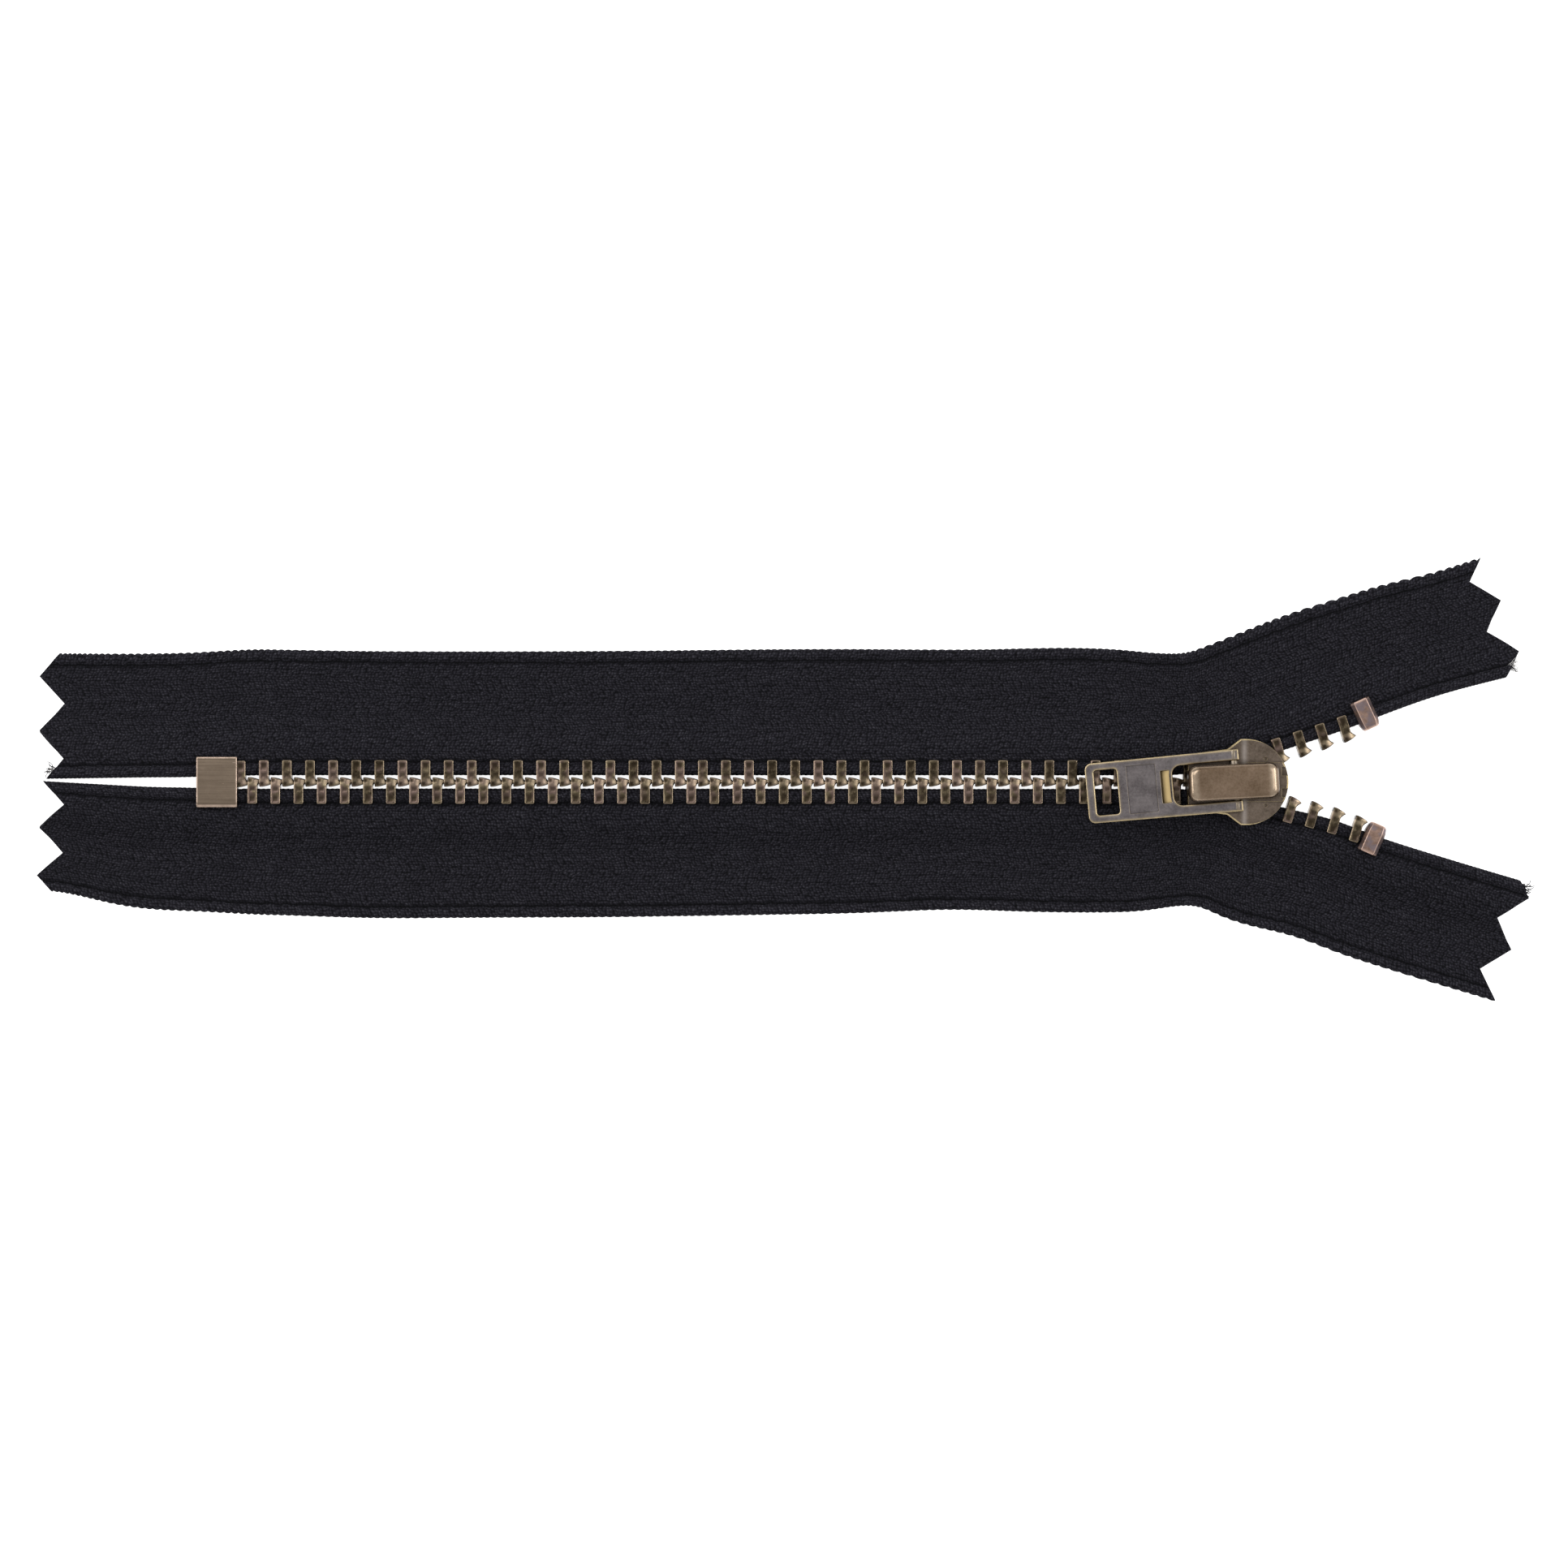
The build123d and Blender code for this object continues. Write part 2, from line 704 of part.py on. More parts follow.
def middle_of_outline(built):
    """Middle of the bounding box in X and Y."""
    boxes = [shape.bounding_box() for shape in built.values()]
    x_middle = (min(b.min.X for b in boxes) + max(b.max.X for b in boxes)) / 2
    y_middle = (min(b.min.Y for b in boxes) + max(b.max.Y for b in boxes)) / 2
    return x_middle, y_middle


unplaced = build_nodes()
shift = middle_of_outline(unplaced)
nodes = {name: Pos(-shift[0], -shift[1], 0) * shape for name, shape in unplaced.items()}

os.makedirs("parts", exist_ok=True)
for name, shape in nodes.items():
    export_step(shape, f"parts/{name}.step")
print(f"{len(nodes)} nodes, moved by {-shift[0]:.3f}, {-shift[1]:.3f}")
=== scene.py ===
"""Looks of a metal jeans zipper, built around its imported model. Lengths are in metres."""

import json
import math

import bpy
import numpy as np
from mathutils import Matrix, Vector
from mathutils.geometry import tessellate_polygon

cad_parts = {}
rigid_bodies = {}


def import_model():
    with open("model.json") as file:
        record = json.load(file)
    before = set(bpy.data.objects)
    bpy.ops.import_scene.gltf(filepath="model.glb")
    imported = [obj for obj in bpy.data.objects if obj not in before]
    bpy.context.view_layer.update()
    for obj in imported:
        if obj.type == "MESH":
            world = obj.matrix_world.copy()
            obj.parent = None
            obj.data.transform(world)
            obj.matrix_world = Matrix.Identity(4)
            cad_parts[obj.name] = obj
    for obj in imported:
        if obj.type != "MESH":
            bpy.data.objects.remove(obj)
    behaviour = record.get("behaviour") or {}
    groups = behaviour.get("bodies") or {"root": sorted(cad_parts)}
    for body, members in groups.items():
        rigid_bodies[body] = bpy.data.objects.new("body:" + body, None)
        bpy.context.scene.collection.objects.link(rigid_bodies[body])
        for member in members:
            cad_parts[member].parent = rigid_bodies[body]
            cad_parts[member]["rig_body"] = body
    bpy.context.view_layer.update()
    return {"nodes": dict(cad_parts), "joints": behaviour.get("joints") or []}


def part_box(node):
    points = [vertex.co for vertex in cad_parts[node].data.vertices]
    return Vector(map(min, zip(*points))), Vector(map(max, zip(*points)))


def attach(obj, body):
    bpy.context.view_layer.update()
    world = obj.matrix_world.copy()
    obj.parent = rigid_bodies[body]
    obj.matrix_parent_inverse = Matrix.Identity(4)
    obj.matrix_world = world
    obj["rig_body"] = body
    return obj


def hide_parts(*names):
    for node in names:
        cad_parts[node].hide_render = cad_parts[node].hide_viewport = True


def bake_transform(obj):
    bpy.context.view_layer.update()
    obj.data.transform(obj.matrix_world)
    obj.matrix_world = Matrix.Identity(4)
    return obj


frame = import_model()

MM = 0.001
SIDES = ("left", "right")
outwards = {"left": 1, "right": -1}  # direction along Y from the chain to each tape
joints = {joint["name"]: joint for joint in frame["joints"]}

# ---- sizes and places
tooth_pitch = 2.9 * MM
teeth_per_side = 49
closed_teeth = 41
teeth_per_group = 6
bead_radius = 0.75 * MM
tape_thickness = 0.56 * MM
tape_reach = 14.7 * MM  # from the middle of the bead to the selvedge
chain_margin = 2.4 * MM  # tape that stays level with the chain
slope_width = 4.8 * MM
pinking_pitch = 6.8 * MM
pinking_depth = 3.1 * MM
tail_turn = {"left": math.radians(0.8), "right": math.radians(3.6)}  # inwards, past the stop
tail_turn_length = 10 * MM
tail_pull = {"left": 0.4 * MM, "right": 0.32 * MM}  # how far the bottom stop pulls a bead in
tail_length = {"left": 25.4 * MM, "right": 25.25 * MM}
arm_length = {"left": 39.0 * MM, "right": 38.4 * MM}
tail_point = {"left": 5.15 * MM, "right": 5.8 * MM}  # from the bead to a point of the pinking
arm_point = {"left": 2.1 * MM, "right": 1.15 * MM}
# Swells of cloth, in millimetres: how far outwards, where along the bead, and over what length.
bead_swells = {
    "left": [(0.8, 82.5, 11), (0.1, 64, 5)],
    "right": [(-0.45, 69, 5), (0.1, 86, 12)],
}
edge_swells = {
    "left": [(0.3, 6, 22), (0.4, 36, 10), (-0.25, 48, 5), (0.5, 69, 7), (-0.42, 87, 6),
             (0.25, -68, 12), (0.3, -93, 9)],
    "right": [(0.6, -30, 32), (0.3, -52, 12), (-0.4, 21, 9), (-0.75, 52, 6), (-1.6, -92, 8)],
}
bend_radius = 15.0 * MM

selvedge_half_width = 0.6 * MM
selvedge_half_height = 0.4 * MM
selvedge_middle = tape_reach - selvedge_half_width
loop_pitch = 0.92 * MM  # from one loop of weft to the next along a selvedge
arm_loop_pitch = 1.4 * MM
web_inner = 0.5 * MM
web_outer = selvedge_middle - 0.25 * MM
seam_x = -4 * MM  # where the lower and upper lengths of a tape meet
cut_reach = 9 * MM  # how far in from a cut end the mesh is drawn back towards the zigzag

float_length = 0.4  # one thread's float in the weave, in the millimetres of its coordinates
float_width = 0.32
# Painted shade: darker lines in the grooves beside the bead and the selvedge.
furrow_shade_lines = (0.95, 13.3)  # across the tape in the same millimetres, beside bead and selvedge
furrow_shade_width = 0.17

row_step = 0.5 * MM  # spacing of the tape's mesh
fine_step = 0.15 * MM  # spacing along beads and selvedges

spread_pivot = {side: Vector(joints[f"{side}_side_spread"]["pos_m"]) for side in SIDES}
bend_pivot = {side: Vector(joints[f"{side}_arm_straighten"]["pos_m"]) for side in SIDES}
spread_angle = {
    side: math.radians(max(abs(limit) for limit in joints[f"{side}_side_spread"]["range_deg"]))
    for side in SIDES
}
chain_y = (spread_pivot["left"].y + spread_pivot["right"].y) / 2
chain_z = spread_pivot["left"].z
bead_offset = spread_pivot["left"].y - chain_y
origin_x = spread_pivot["left"].x - tooth_pitch
stop_rear_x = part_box("bottom_stop")[0].x
margin_z = tape_thickness / 2


def smooth(t):
    t = np.clip(t, 0.0, 1.0)
    return t * t * (3 - 2 * t)


def inside(value, low, high, blur):
    """1 between two limits and 0 outside them, with blurred ends."""
    return smooth((value - low) / blur + 0.5) * smooth((high - value) / blur + 0.5)


# ---- the line of each bead
def heading(side, s):
    """Angle of the bead line, positive towards the selvedge, s being the distance along it."""
    bend_span = 1.4 * bend_radius * spread_angle[side]
    bend = spread_angle[side] * smooth((s - bend_pivot[side].x) / bend_span + 0.5)
    return bend + tail_turn[side] * smooth((stop_rear_x - s) / tail_turn_length)


def cross_angle(side, s):
    """Angle of the weft, which turns sooner and more slowly than the bead."""
    lead, span = 13 * MM, 22 * MM
    bend = spread_angle[side] * smooth((s - bend_pivot[side].x + lead) / span)
    return bend + tail_turn[side] * smooth((stop_rear_x - s) / tail_turn_length)


def swells(s, bumps):
    """Sum of smooth bumps given as (height, middle, width) in millimetres."""
    total = np.zeros_like(s)
    for height, middle, width in bumps:
        total += height * MM * np.exp(-(((s - middle * MM) / (width * MM)) ** 2))
    return total


def cut_end(side, upper):
    """Distance along the bead of the line through the points of one cut end."""
    if not upper:
        return origin_x - tail_length[side]
    bend_length = bend_radius * spread_angle[side]
    bend_start = bend_pivot[side].x - bend_radius * math.tan(spread_angle[side] / 2)
    return bend_start + bend_length + arm_length[side]


line_step = 0.05 * MM
line_margin = 2 * MM  # of line beyond each end of the tape
pull_start, pull_span = stop_rear_x + 9 * MM, 12 * MM  # in full behind the bottom stop
bead_lines = {}
for side in SIDES:
    s = np.arange(cut_end(side, False) - line_margin, cut_end(side, True) + line_margin, line_step)
    angle = heading(side, s)
    x = np.cumsum(np.cos(angle)) * line_step
    y = np.cumsum(np.sin(angle)) * line_step
    anchor = np.argmin(np.abs(s))
    pull = tail_pull[side] * smooth((pull_start - s) / pull_span)
    y += swells(s, bead_swells[side]) - pull
    bead_lines[side] = (s, x - x[anchor] + s[anchor], y - y[anchor] + bead_offset)


def cloth_height(v):
    """Height of the middle of the cloth: level by the chain, then down to the margin."""
    groove_depth, groove_place, groove_width = 0.1 * MM, 0.85 * MM, 0.25 * MM
    drop = smooth((v - chain_margin) / slope_width)
    groove = groove_depth * np.exp(-(((v - groove_place) / groove_width) ** 2))
    return chain_z + (margin_z - chain_z) * drop - groove


def pucker(side, s, v):
    """Small gathers where the tape bends, and faint ripples along the margin."""
    gather_height, gather_reach, gather_pitch = 0.16 * MM, 9 * MM, 3.1 * MM
    ripple_height, ripple_length = 0.05 * MM, 6.3 * MM
    past = s - bend_pivot[side].x + 0.35 * v
    near = np.exp(-((past / gather_reach) ** 2)) * smooth((v - 3.5 * MM) / (5 * MM))
    folds = 0.5 + 0.5 * np.sin(2 * math.pi * (past / gather_pitch + 0.6 * np.sin(v / (2.2 * MM))))
    ripple = 0.5 + 0.5 * np.sin(s / ripple_length + 2 * np.sin(s / (17 * MM)) + v / (5 * MM))
    return gather_height * near * folds + ripple_height * ripple * smooth((v - 6 * MM) / (6 * MM))


def place(side, s, v, z):
    """Points of one side's cloth from their distances along and across it and their height."""
    along, x_line, y_line = bead_lines[side]
    spread = v * (1 + swells(s, edge_swells[side]) / tape_reach)
    angle = cross_angle(side, s)
    x = np.interp(s, along, x_line) - spread * np.sin(angle)
    y = np.interp(s, along, y_line) + spread * np.cos(angle)
    return np.stack([x, chain_y + outwards[side] * y, z], axis=-1)


def pinking_point(side, upper):
    return (arm_point if upper else tail_point)[side]


def pinked(side, upper, v):
    """Distance along from the line through the points of a cut end back to the cut."""
    share = np.mod((v - pinking_point(side, upper)) / pinking_pitch, 1.0)
    back = -1 if upper else 1
    return back * pinking_depth * (1 - np.abs(2 * share - 1))


# ---- meshes
def add_object(name, data, material=None):
    """Object of a mesh with its material, or of a light or camera without one."""
    obj = bpy.data.objects.new(name, data)
    bpy.context.scene.collection.objects.link(obj)
    if material is not None:
        data.materials.append(material)
    return obj


def smooth_mesh(name, points, faces, attribute, values):
    """Mesh with smooth faces, and an attribute with three numbers for each point."""
    mesh = bpy.data.meshes.new(name)
    mesh.from_pydata(points.reshape(-1, 3).tolist(), [], faces)
    mesh.polygons.foreach_set("use_smooth", [True] * len(mesh.polygons))
    kept = mesh.attributes.new(attribute, "FLOAT_VECTOR", "POINT")
    kept.data.foreach_set("vector", values.astype(np.float32).ravel())
    return mesh


def cloth_mesh(name, side, upper, points, faces, flat_coordinates):
    """Mesh of one length of tape, with the cloth's own coordinates in millimetres kept on it."""
    if (side == "left") == upper:
        faces = [face[::-1] for face in faces]
    return smooth_mesh(name, points, faces, "cloth", flat_coordinates.astype(np.float32) / MM)


def grid_faces(rows, columns, first=0, flipped=False):
    """Quads over a grid of rows times columns vertices."""
    faces = []
    for i in range(rows - 1):
        for j in range(columns - 1):
            a = first + i * columns + j
            face = (a, a + columns, a + columns + 1, a + 1)
            faces.append(face[::-1] if flipped else face)
    return faces


def slab_faces(rows, columns):
    """Faces of a slab between two grids of points, and how many of them, the last, are its rim."""
    count = rows * columns
    faces = grid_faces(rows, columns) + grid_faces(rows, columns, count, flipped=True)
    rim = list(range(columns))
    rim += [i * columns + columns - 1 for i in range(1, rows)]
    rim += [(rows - 1) * columns + j for j in range(columns - 2, -1, -1)]
    rim += [i * columns for i in range(rows - 2, 0, -1)]
    for a, b in zip(rim, rim[1:] + rim[:1]):
        faces.append((a, b, b + count, a + count))
    return faces, len(rim)


def along_piece(side, upper, step):
    """Distances along one length of tape, from the seam to its pinked end."""
    end = cut_end(side, upper)
    count = math.ceil(abs(end - seam_x) / step)
    return np.linspace(seam_x, end, count + 1)


def drawn_back(side, upper, s_line, v):
    """Distance along for each row and point across it, the last rows bent to the zigzag cut."""
    near_end = np.clip(1 - np.abs(s_line[-1] - s_line) / cut_reach, 0, 1)
    return s_line[:, None] + near_end[:, None] * pinked(side, upper, v)


def web_columns(side, upper):
    """Distances across the web, with a column at every corner of the pinking."""
    point = pinking_point(side, upper)
    half = pinking_pitch / 2
    first = math.ceil((web_inner - point) / half)
    last = math.floor((web_outer - point) / half)
    corners = [web_inner] + [point + k * half for k in range(first, last + 1)] + [web_outer]
    columns = []
    for low, high in zip(corners[:-1], corners[1:]):
        count = max(1, round((high - low) / row_step))
        columns += list(np.linspace(low, high, count + 1)[:-1])
    return np.array(columns + [corners[-1]])


def web(side, upper, name, material):
    """One length of tape as a closed sheet, without its bead and selvedge."""
    v = web_columns(side, upper)
    s = drawn_back(side, upper, along_piece(side, upper, row_step), v)
    v = np.broadcast_to(v, s.shape)
    middle = cloth_height(v) + pucker(side, s, v)
    step = 0.05 * MM
    slope = (cloth_height(v + step) - cloth_height(v - step)) / (2 * step)
    lean = 1 / np.sqrt(1 + slope**2)
    half = tape_thickness / 2
    top = place(side, s, v - slope * lean * half, middle + lean * half)
    bottom = place(side, s, v + slope * lean * half, middle - lean * half)
    faces, rim_faces = slab_faces(*s.shape)
    points = np.concatenate([top, bottom])
    flat = np.stack([s, v, np.zeros_like(s)], axis=-1)
    flat = np.concatenate([flat, flat])
    mesh = cloth_mesh(name, side, upper, points, faces, flat)
    sharpen_rim(mesh, rim_faces)
    return add_object(name, mesh, material)


def sharpen_rim(mesh, rim_faces):
    """Makes the edges of the cut crisp. The rim's faces are the last ones."""
    sharp = mesh.attributes.new("sharp_edge", "BOOLEAN", "EDGE")
    around = {}
    first_rim = len(mesh.polygons) - rim_faces
    for polygon in mesh.polygons:
        for key in polygon.edge_keys:
            around.setdefault(key, []).append(polygon.index >= first_rim)
    flags = [len(set(around[tuple(sorted(edge.vertices))])) == 2 for edge in mesh.edges]
    sharp.data.foreach_set("value", flags)


def tube(side, upper, name, material, section, wrap):
    """Bead or selvedge: section(side, s, turn) gives v and z for each point round it."""
    segments = 16
    turn = np.linspace(0, 2 * math.pi, segments, endpoint=False)
    s_line = along_piece(side, upper, fine_step)
    s_grid, turn_grid = np.meshgrid(s_line, turn, indexing="ij")
    v, z = section(side, s_grid, turn_grid)
    s = drawn_back(side, upper, s_line, v)
    z = z + pucker(side, s, v) * (v > chain_margin)
    points = place(side, s, v, z)
    rows = len(s_line)
    faces = []
    for i in range(rows - 1):
        a, b = i * segments, (i + 1) * segments
        for j in range(segments):
            k = (j + 1) % segments
            faces.append((a + j, a + k, b + k, b + j))
    faces.append(tuple(reversed(range(segments))))
    faces.append(tuple((rows - 1) * segments + j for j in range(segments)))
    flat = np.stack([s, turn_grid * wrap, np.full_like(s, MM)], axis=-1)
    mesh = cloth_mesh(name, side, upper, points, faces, flat)
    return add_object(name, mesh, material)


def bead_section(side, s, turn):
    """Woven tube round the core cord, with slanting ribs. Between the teeth it bulges inwards."""
    rib_pitch, bulge = 0.62 * MM, 0.14 * MM
    rib = np.abs(np.sin(math.pi * (s / rib_pitch) + turn))
    radius = bead_radius * (0.93 + 0.06 * rib)
    squeezed = inside(s, origin_x, bend_pivot[side].x - 4 * MM, 2 * MM)
    radius += bulge * squeezed * np.clip(-np.cos(turn), 0, 1) ** 2
    return radius * np.cos(turn), chain_z + radius * np.sin(turn)


def selvedge_section(side, s, turn):
    """Woven edge with a loop of weft at each turn, standing out more on the arm and the tail."""
    drift = 0.25 * np.sin(s / (2.1 * MM)) + 0.15 * np.sin(s / (5.3 * MM))
    drift += np.maximum(s - 55 * MM, 0) * (1 / arm_loop_pitch - 1 / loop_pitch)
    loop = np.abs(np.sin(math.pi * (s / loop_pitch + drift))) ** 0.7
    on_arm = {"left": 0.2, "right": 0.06}[side]
    loop_height = 0.11 + on_arm * smooth((s - 48 * MM) / (14 * MM))
    loop_height = (loop_height + 0.08 * smooth((-60 * MM - s) / (8 * MM))) * MM
    outward = np.clip(np.cos(turn), 0, 1)
    half_width = selvedge_half_width + loop_height * (loop - 0.45) * outward
    half_height = selvedge_half_height * (0.82 + 0.18 * loop)
    lift = selvedge_half_height
    return selvedge_middle + half_width * np.cos(turn), lift + half_height * np.sin(turn)


# ---- materials
class Nodes:
    """Short hand for building the node tree of a material or of the world."""

    def __init__(self, owner, shader="Principled BSDF"):
        owner.use_nodes = True
        self.owner = owner
        self.tree = owner.node_tree
        self.shader = self.tree.nodes[shader]

    def add(self, kind, inputs=(), **settings):
        node = self.tree.nodes.new("ShaderNode" + kind)
        for key, value in settings.items():
            setattr(node, key, value)
        self.put(node, inputs)
        return node

    def put(self, node, inputs):
        """Gives each named socket of a node its value or its link."""
        for key, value in dict(inputs).items():
            if isinstance(value, bpy.types.NodeSocket):
                self.tree.links.new(value, node.inputs[key])
            else:
                node.inputs[key].default_value = value

    def math(self, operation, *values, clamp=False):
        inputs = dict(enumerate(values))
        return self.add("Math", inputs, operation=operation, use_clamp=clamp).outputs[0]

    def times(self, *values, clamp=False):
        return self.math("MULTIPLY", *values, clamp=clamp)

    def linear(self, *values, clamp=False):
        """A value times a factor, plus an offset."""
        return self.math("MULTIPLY_ADD", *values, clamp=clamp)

    def vector_math(self, operation, *values):
        return self.add("VectorMath", dict(enumerate(values)), operation=operation)

    def axes(self, vector):
        """X, Y and Z of a vector or a colour."""
        return self.add("SeparateXYZ", {"Vector": vector}).outputs

    def bell(self, value, middle, width):
        """1 at the middle, and nearly 0 two widths away."""
        away = self.math("DIVIDE", self.math("SUBTRACT", value, middle), width)
        return self.math("EXPONENT", self.times(self.times(away, away), -1.0))

    def ramp(self, factor, stops):
        node = self.add("ValToRGB", {"Fac": factor})
        elements = node.color_ramp.elements
        while len(elements) < len(stops):
            elements.new(0.5)
        for element, (position, value) in zip(elements, stops):
            element.position = position
            element.color = value if len(value) == 4 else (*value, 1.0)
        return node.outputs["Color"]

    def noise(self, scale, detail, roughness, vector=None):
        """Noise with one scale, or one for each axis, over a vector or the object's own place."""
        if vector is None:
            vector = self.add("TexCoord").outputs["Object"]
        scales = np.broadcast_to(scale, 3).tolist()
        vector = self.add("Mapping", {"Vector": vector, "Scale": scales}).outputs["Vector"]
        inputs = {"Vector": vector, "Scale": 1.0, "Detail": detail, "Roughness": roughness}
        return self.add("TexNoise", inputs).outputs["Fac"]

    def mix(self, factor, first, second, blend="MIX"):
        inputs = {"Factor": factor, "A": first, "B": second}
        node = self.add("Mix", inputs, data_type="RGBA", blend_type=blend)
        return node.outputs["Result"]

    def edges(self, radius, low, high):
        """Share of wear: 1 on an edge that is sharper than the radius."""
        round_normal = self.add("Bevel", {"Radius": radius}, samples=6).outputs[0]
        normal = self.add("NewGeometry").outputs["Normal"]
        dot = self.vector_math("DOT_PRODUCT", round_normal, normal).outputs["Value"]
        edge = self.math("SUBTRACT", 1.0, dot)
        inputs = {"Value": edge, "From Min": low, "From Max": high}
        return self.add("MapRange", inputs).outputs["Result"]

    def bump(self, height, distance, strength=1.0):
        inputs = {"Height": height, "Distance": distance, "Strength": strength}
        node = self.add("Bump", inputs)
        self.put(self.shader, {"Normal": node.outputs["Normal"]})
        return node

    def seen_directly(self):
        """1 where the camera, a reflection or glass shows it, and 0 where it only lights."""
        path = self.add("LightPath").outputs
        seen = self.math("MAXIMUM", path["Is Camera Ray"], path["Is Glossy Ray"])
        return self.math("MAXIMUM", seen, path["Is Transmission Ray"])


def srgb(red, green, blue):
    """Linear colour with alpha from display values of 0 to 255."""
    linear = []
    for value in (red, green, blue):
        share = value / 255
        low = share / 12.92
        linear.append(low if share <= 0.04045 else ((share + 0.055) / 1.055) ** 2.4)
    return (*linear, 1.0)


def cloth_material():
    """Black tape: short uneven floats in rows whose slant turns back and forth."""
    rows_before_turn, slant_per_row, lint_size = 7.0, 0.3, 0.0055
    m = Nodes(bpy.data.materials.new("woven_tape"))
    flat = m.add("Attribute", attribute_name="cloth").outputs["Vector"]
    drift = m.add("TexNoise", {"Vector": flat, "Scale": 0.9, "Detail": 3.0})
    drift = m.vector_math("SUBTRACT", drift.outputs["Color"], (0.5, 0.5, 0.5)).outputs[0]
    place = m.vector_math("MULTIPLY_ADD", drift, (0.7, 0.5, 0), flat).outputs[0]
    along, across, is_tube = m.axes(place)
    row = m.math("DIVIDE", across, float_width)
    slant = m.times(m.math("PINGPONG", row, rows_before_turn), slant_per_row)
    column = m.math("ADD", m.math("DIVIDE", along, float_length), slant)
    cell = m.add("CombineXYZ", {"X": column, "Y": row}).outputs[0]
    inputs = {"Vector": cell, "Scale": 1.0, "Randomness": 0.5}
    threads = m.add("TexVoronoi", inputs, voronoi_dimensions="2D").outputs
    dome = m.linear(threads["Distance"], -1.35, 1.0, clamp=True)
    chance = m.axes(threads["Color"])["X"]
    shape = m.times(dome, m.linear(chance, 0.4, 0.75))
    fibres = m.noise(4.6, 3.0, 0.75, flat)
    streaks = m.noise((0.25, 1.9, 1.0), 2.0, 0.6, flat)
    tone = m.linear(fibres, 0.75, m.times(shape, 0.6))
    tone = m.math("ADD", tone, m.linear(streaks, 0.3, -0.37))
    # Painted shade in the grooves, on the flat web only.
    furrow_shade = m.math("MAXIMUM", *[m.bell(across, v, furrow_shade_width) for v in furrow_shade_lines])
    furrow_shade = m.times(furrow_shade, m.math("SUBTRACT", 1.0, is_tube))
    tone = m.times(tone, m.linear(furrow_shade, -0.6, 1.0))
    tone = m.linear(is_tube, 0.03, tone)
    shades = [(0.14, (9, 9, 11)), (0.4, (27, 26, 31)), (0.66, (46, 45, 51)), (1.0, (82, 81, 88))]
    colour = m.ramp(tone, [(place, srgb(*shade)) for place, shade in shades])
    lint = m.add("TexVoronoi", {"Vector": flat, "Scale": 0.07}).outputs["Distance"]
    colour = m.mix(m.math("LESS_THAN", lint, lint_size), colour, srgb(120, 119, 124))
    m.put(m.shader, {"Base Color": colour, "Roughness": 0.85, "Specular IOR Level": 0.05})
    height = m.linear(fibres, 0.35, shape)
    height = m.times(height, m.linear(is_tube, -0.3, 1.0))
    m.bump(height, 0.13 * MM)
    return m.owner


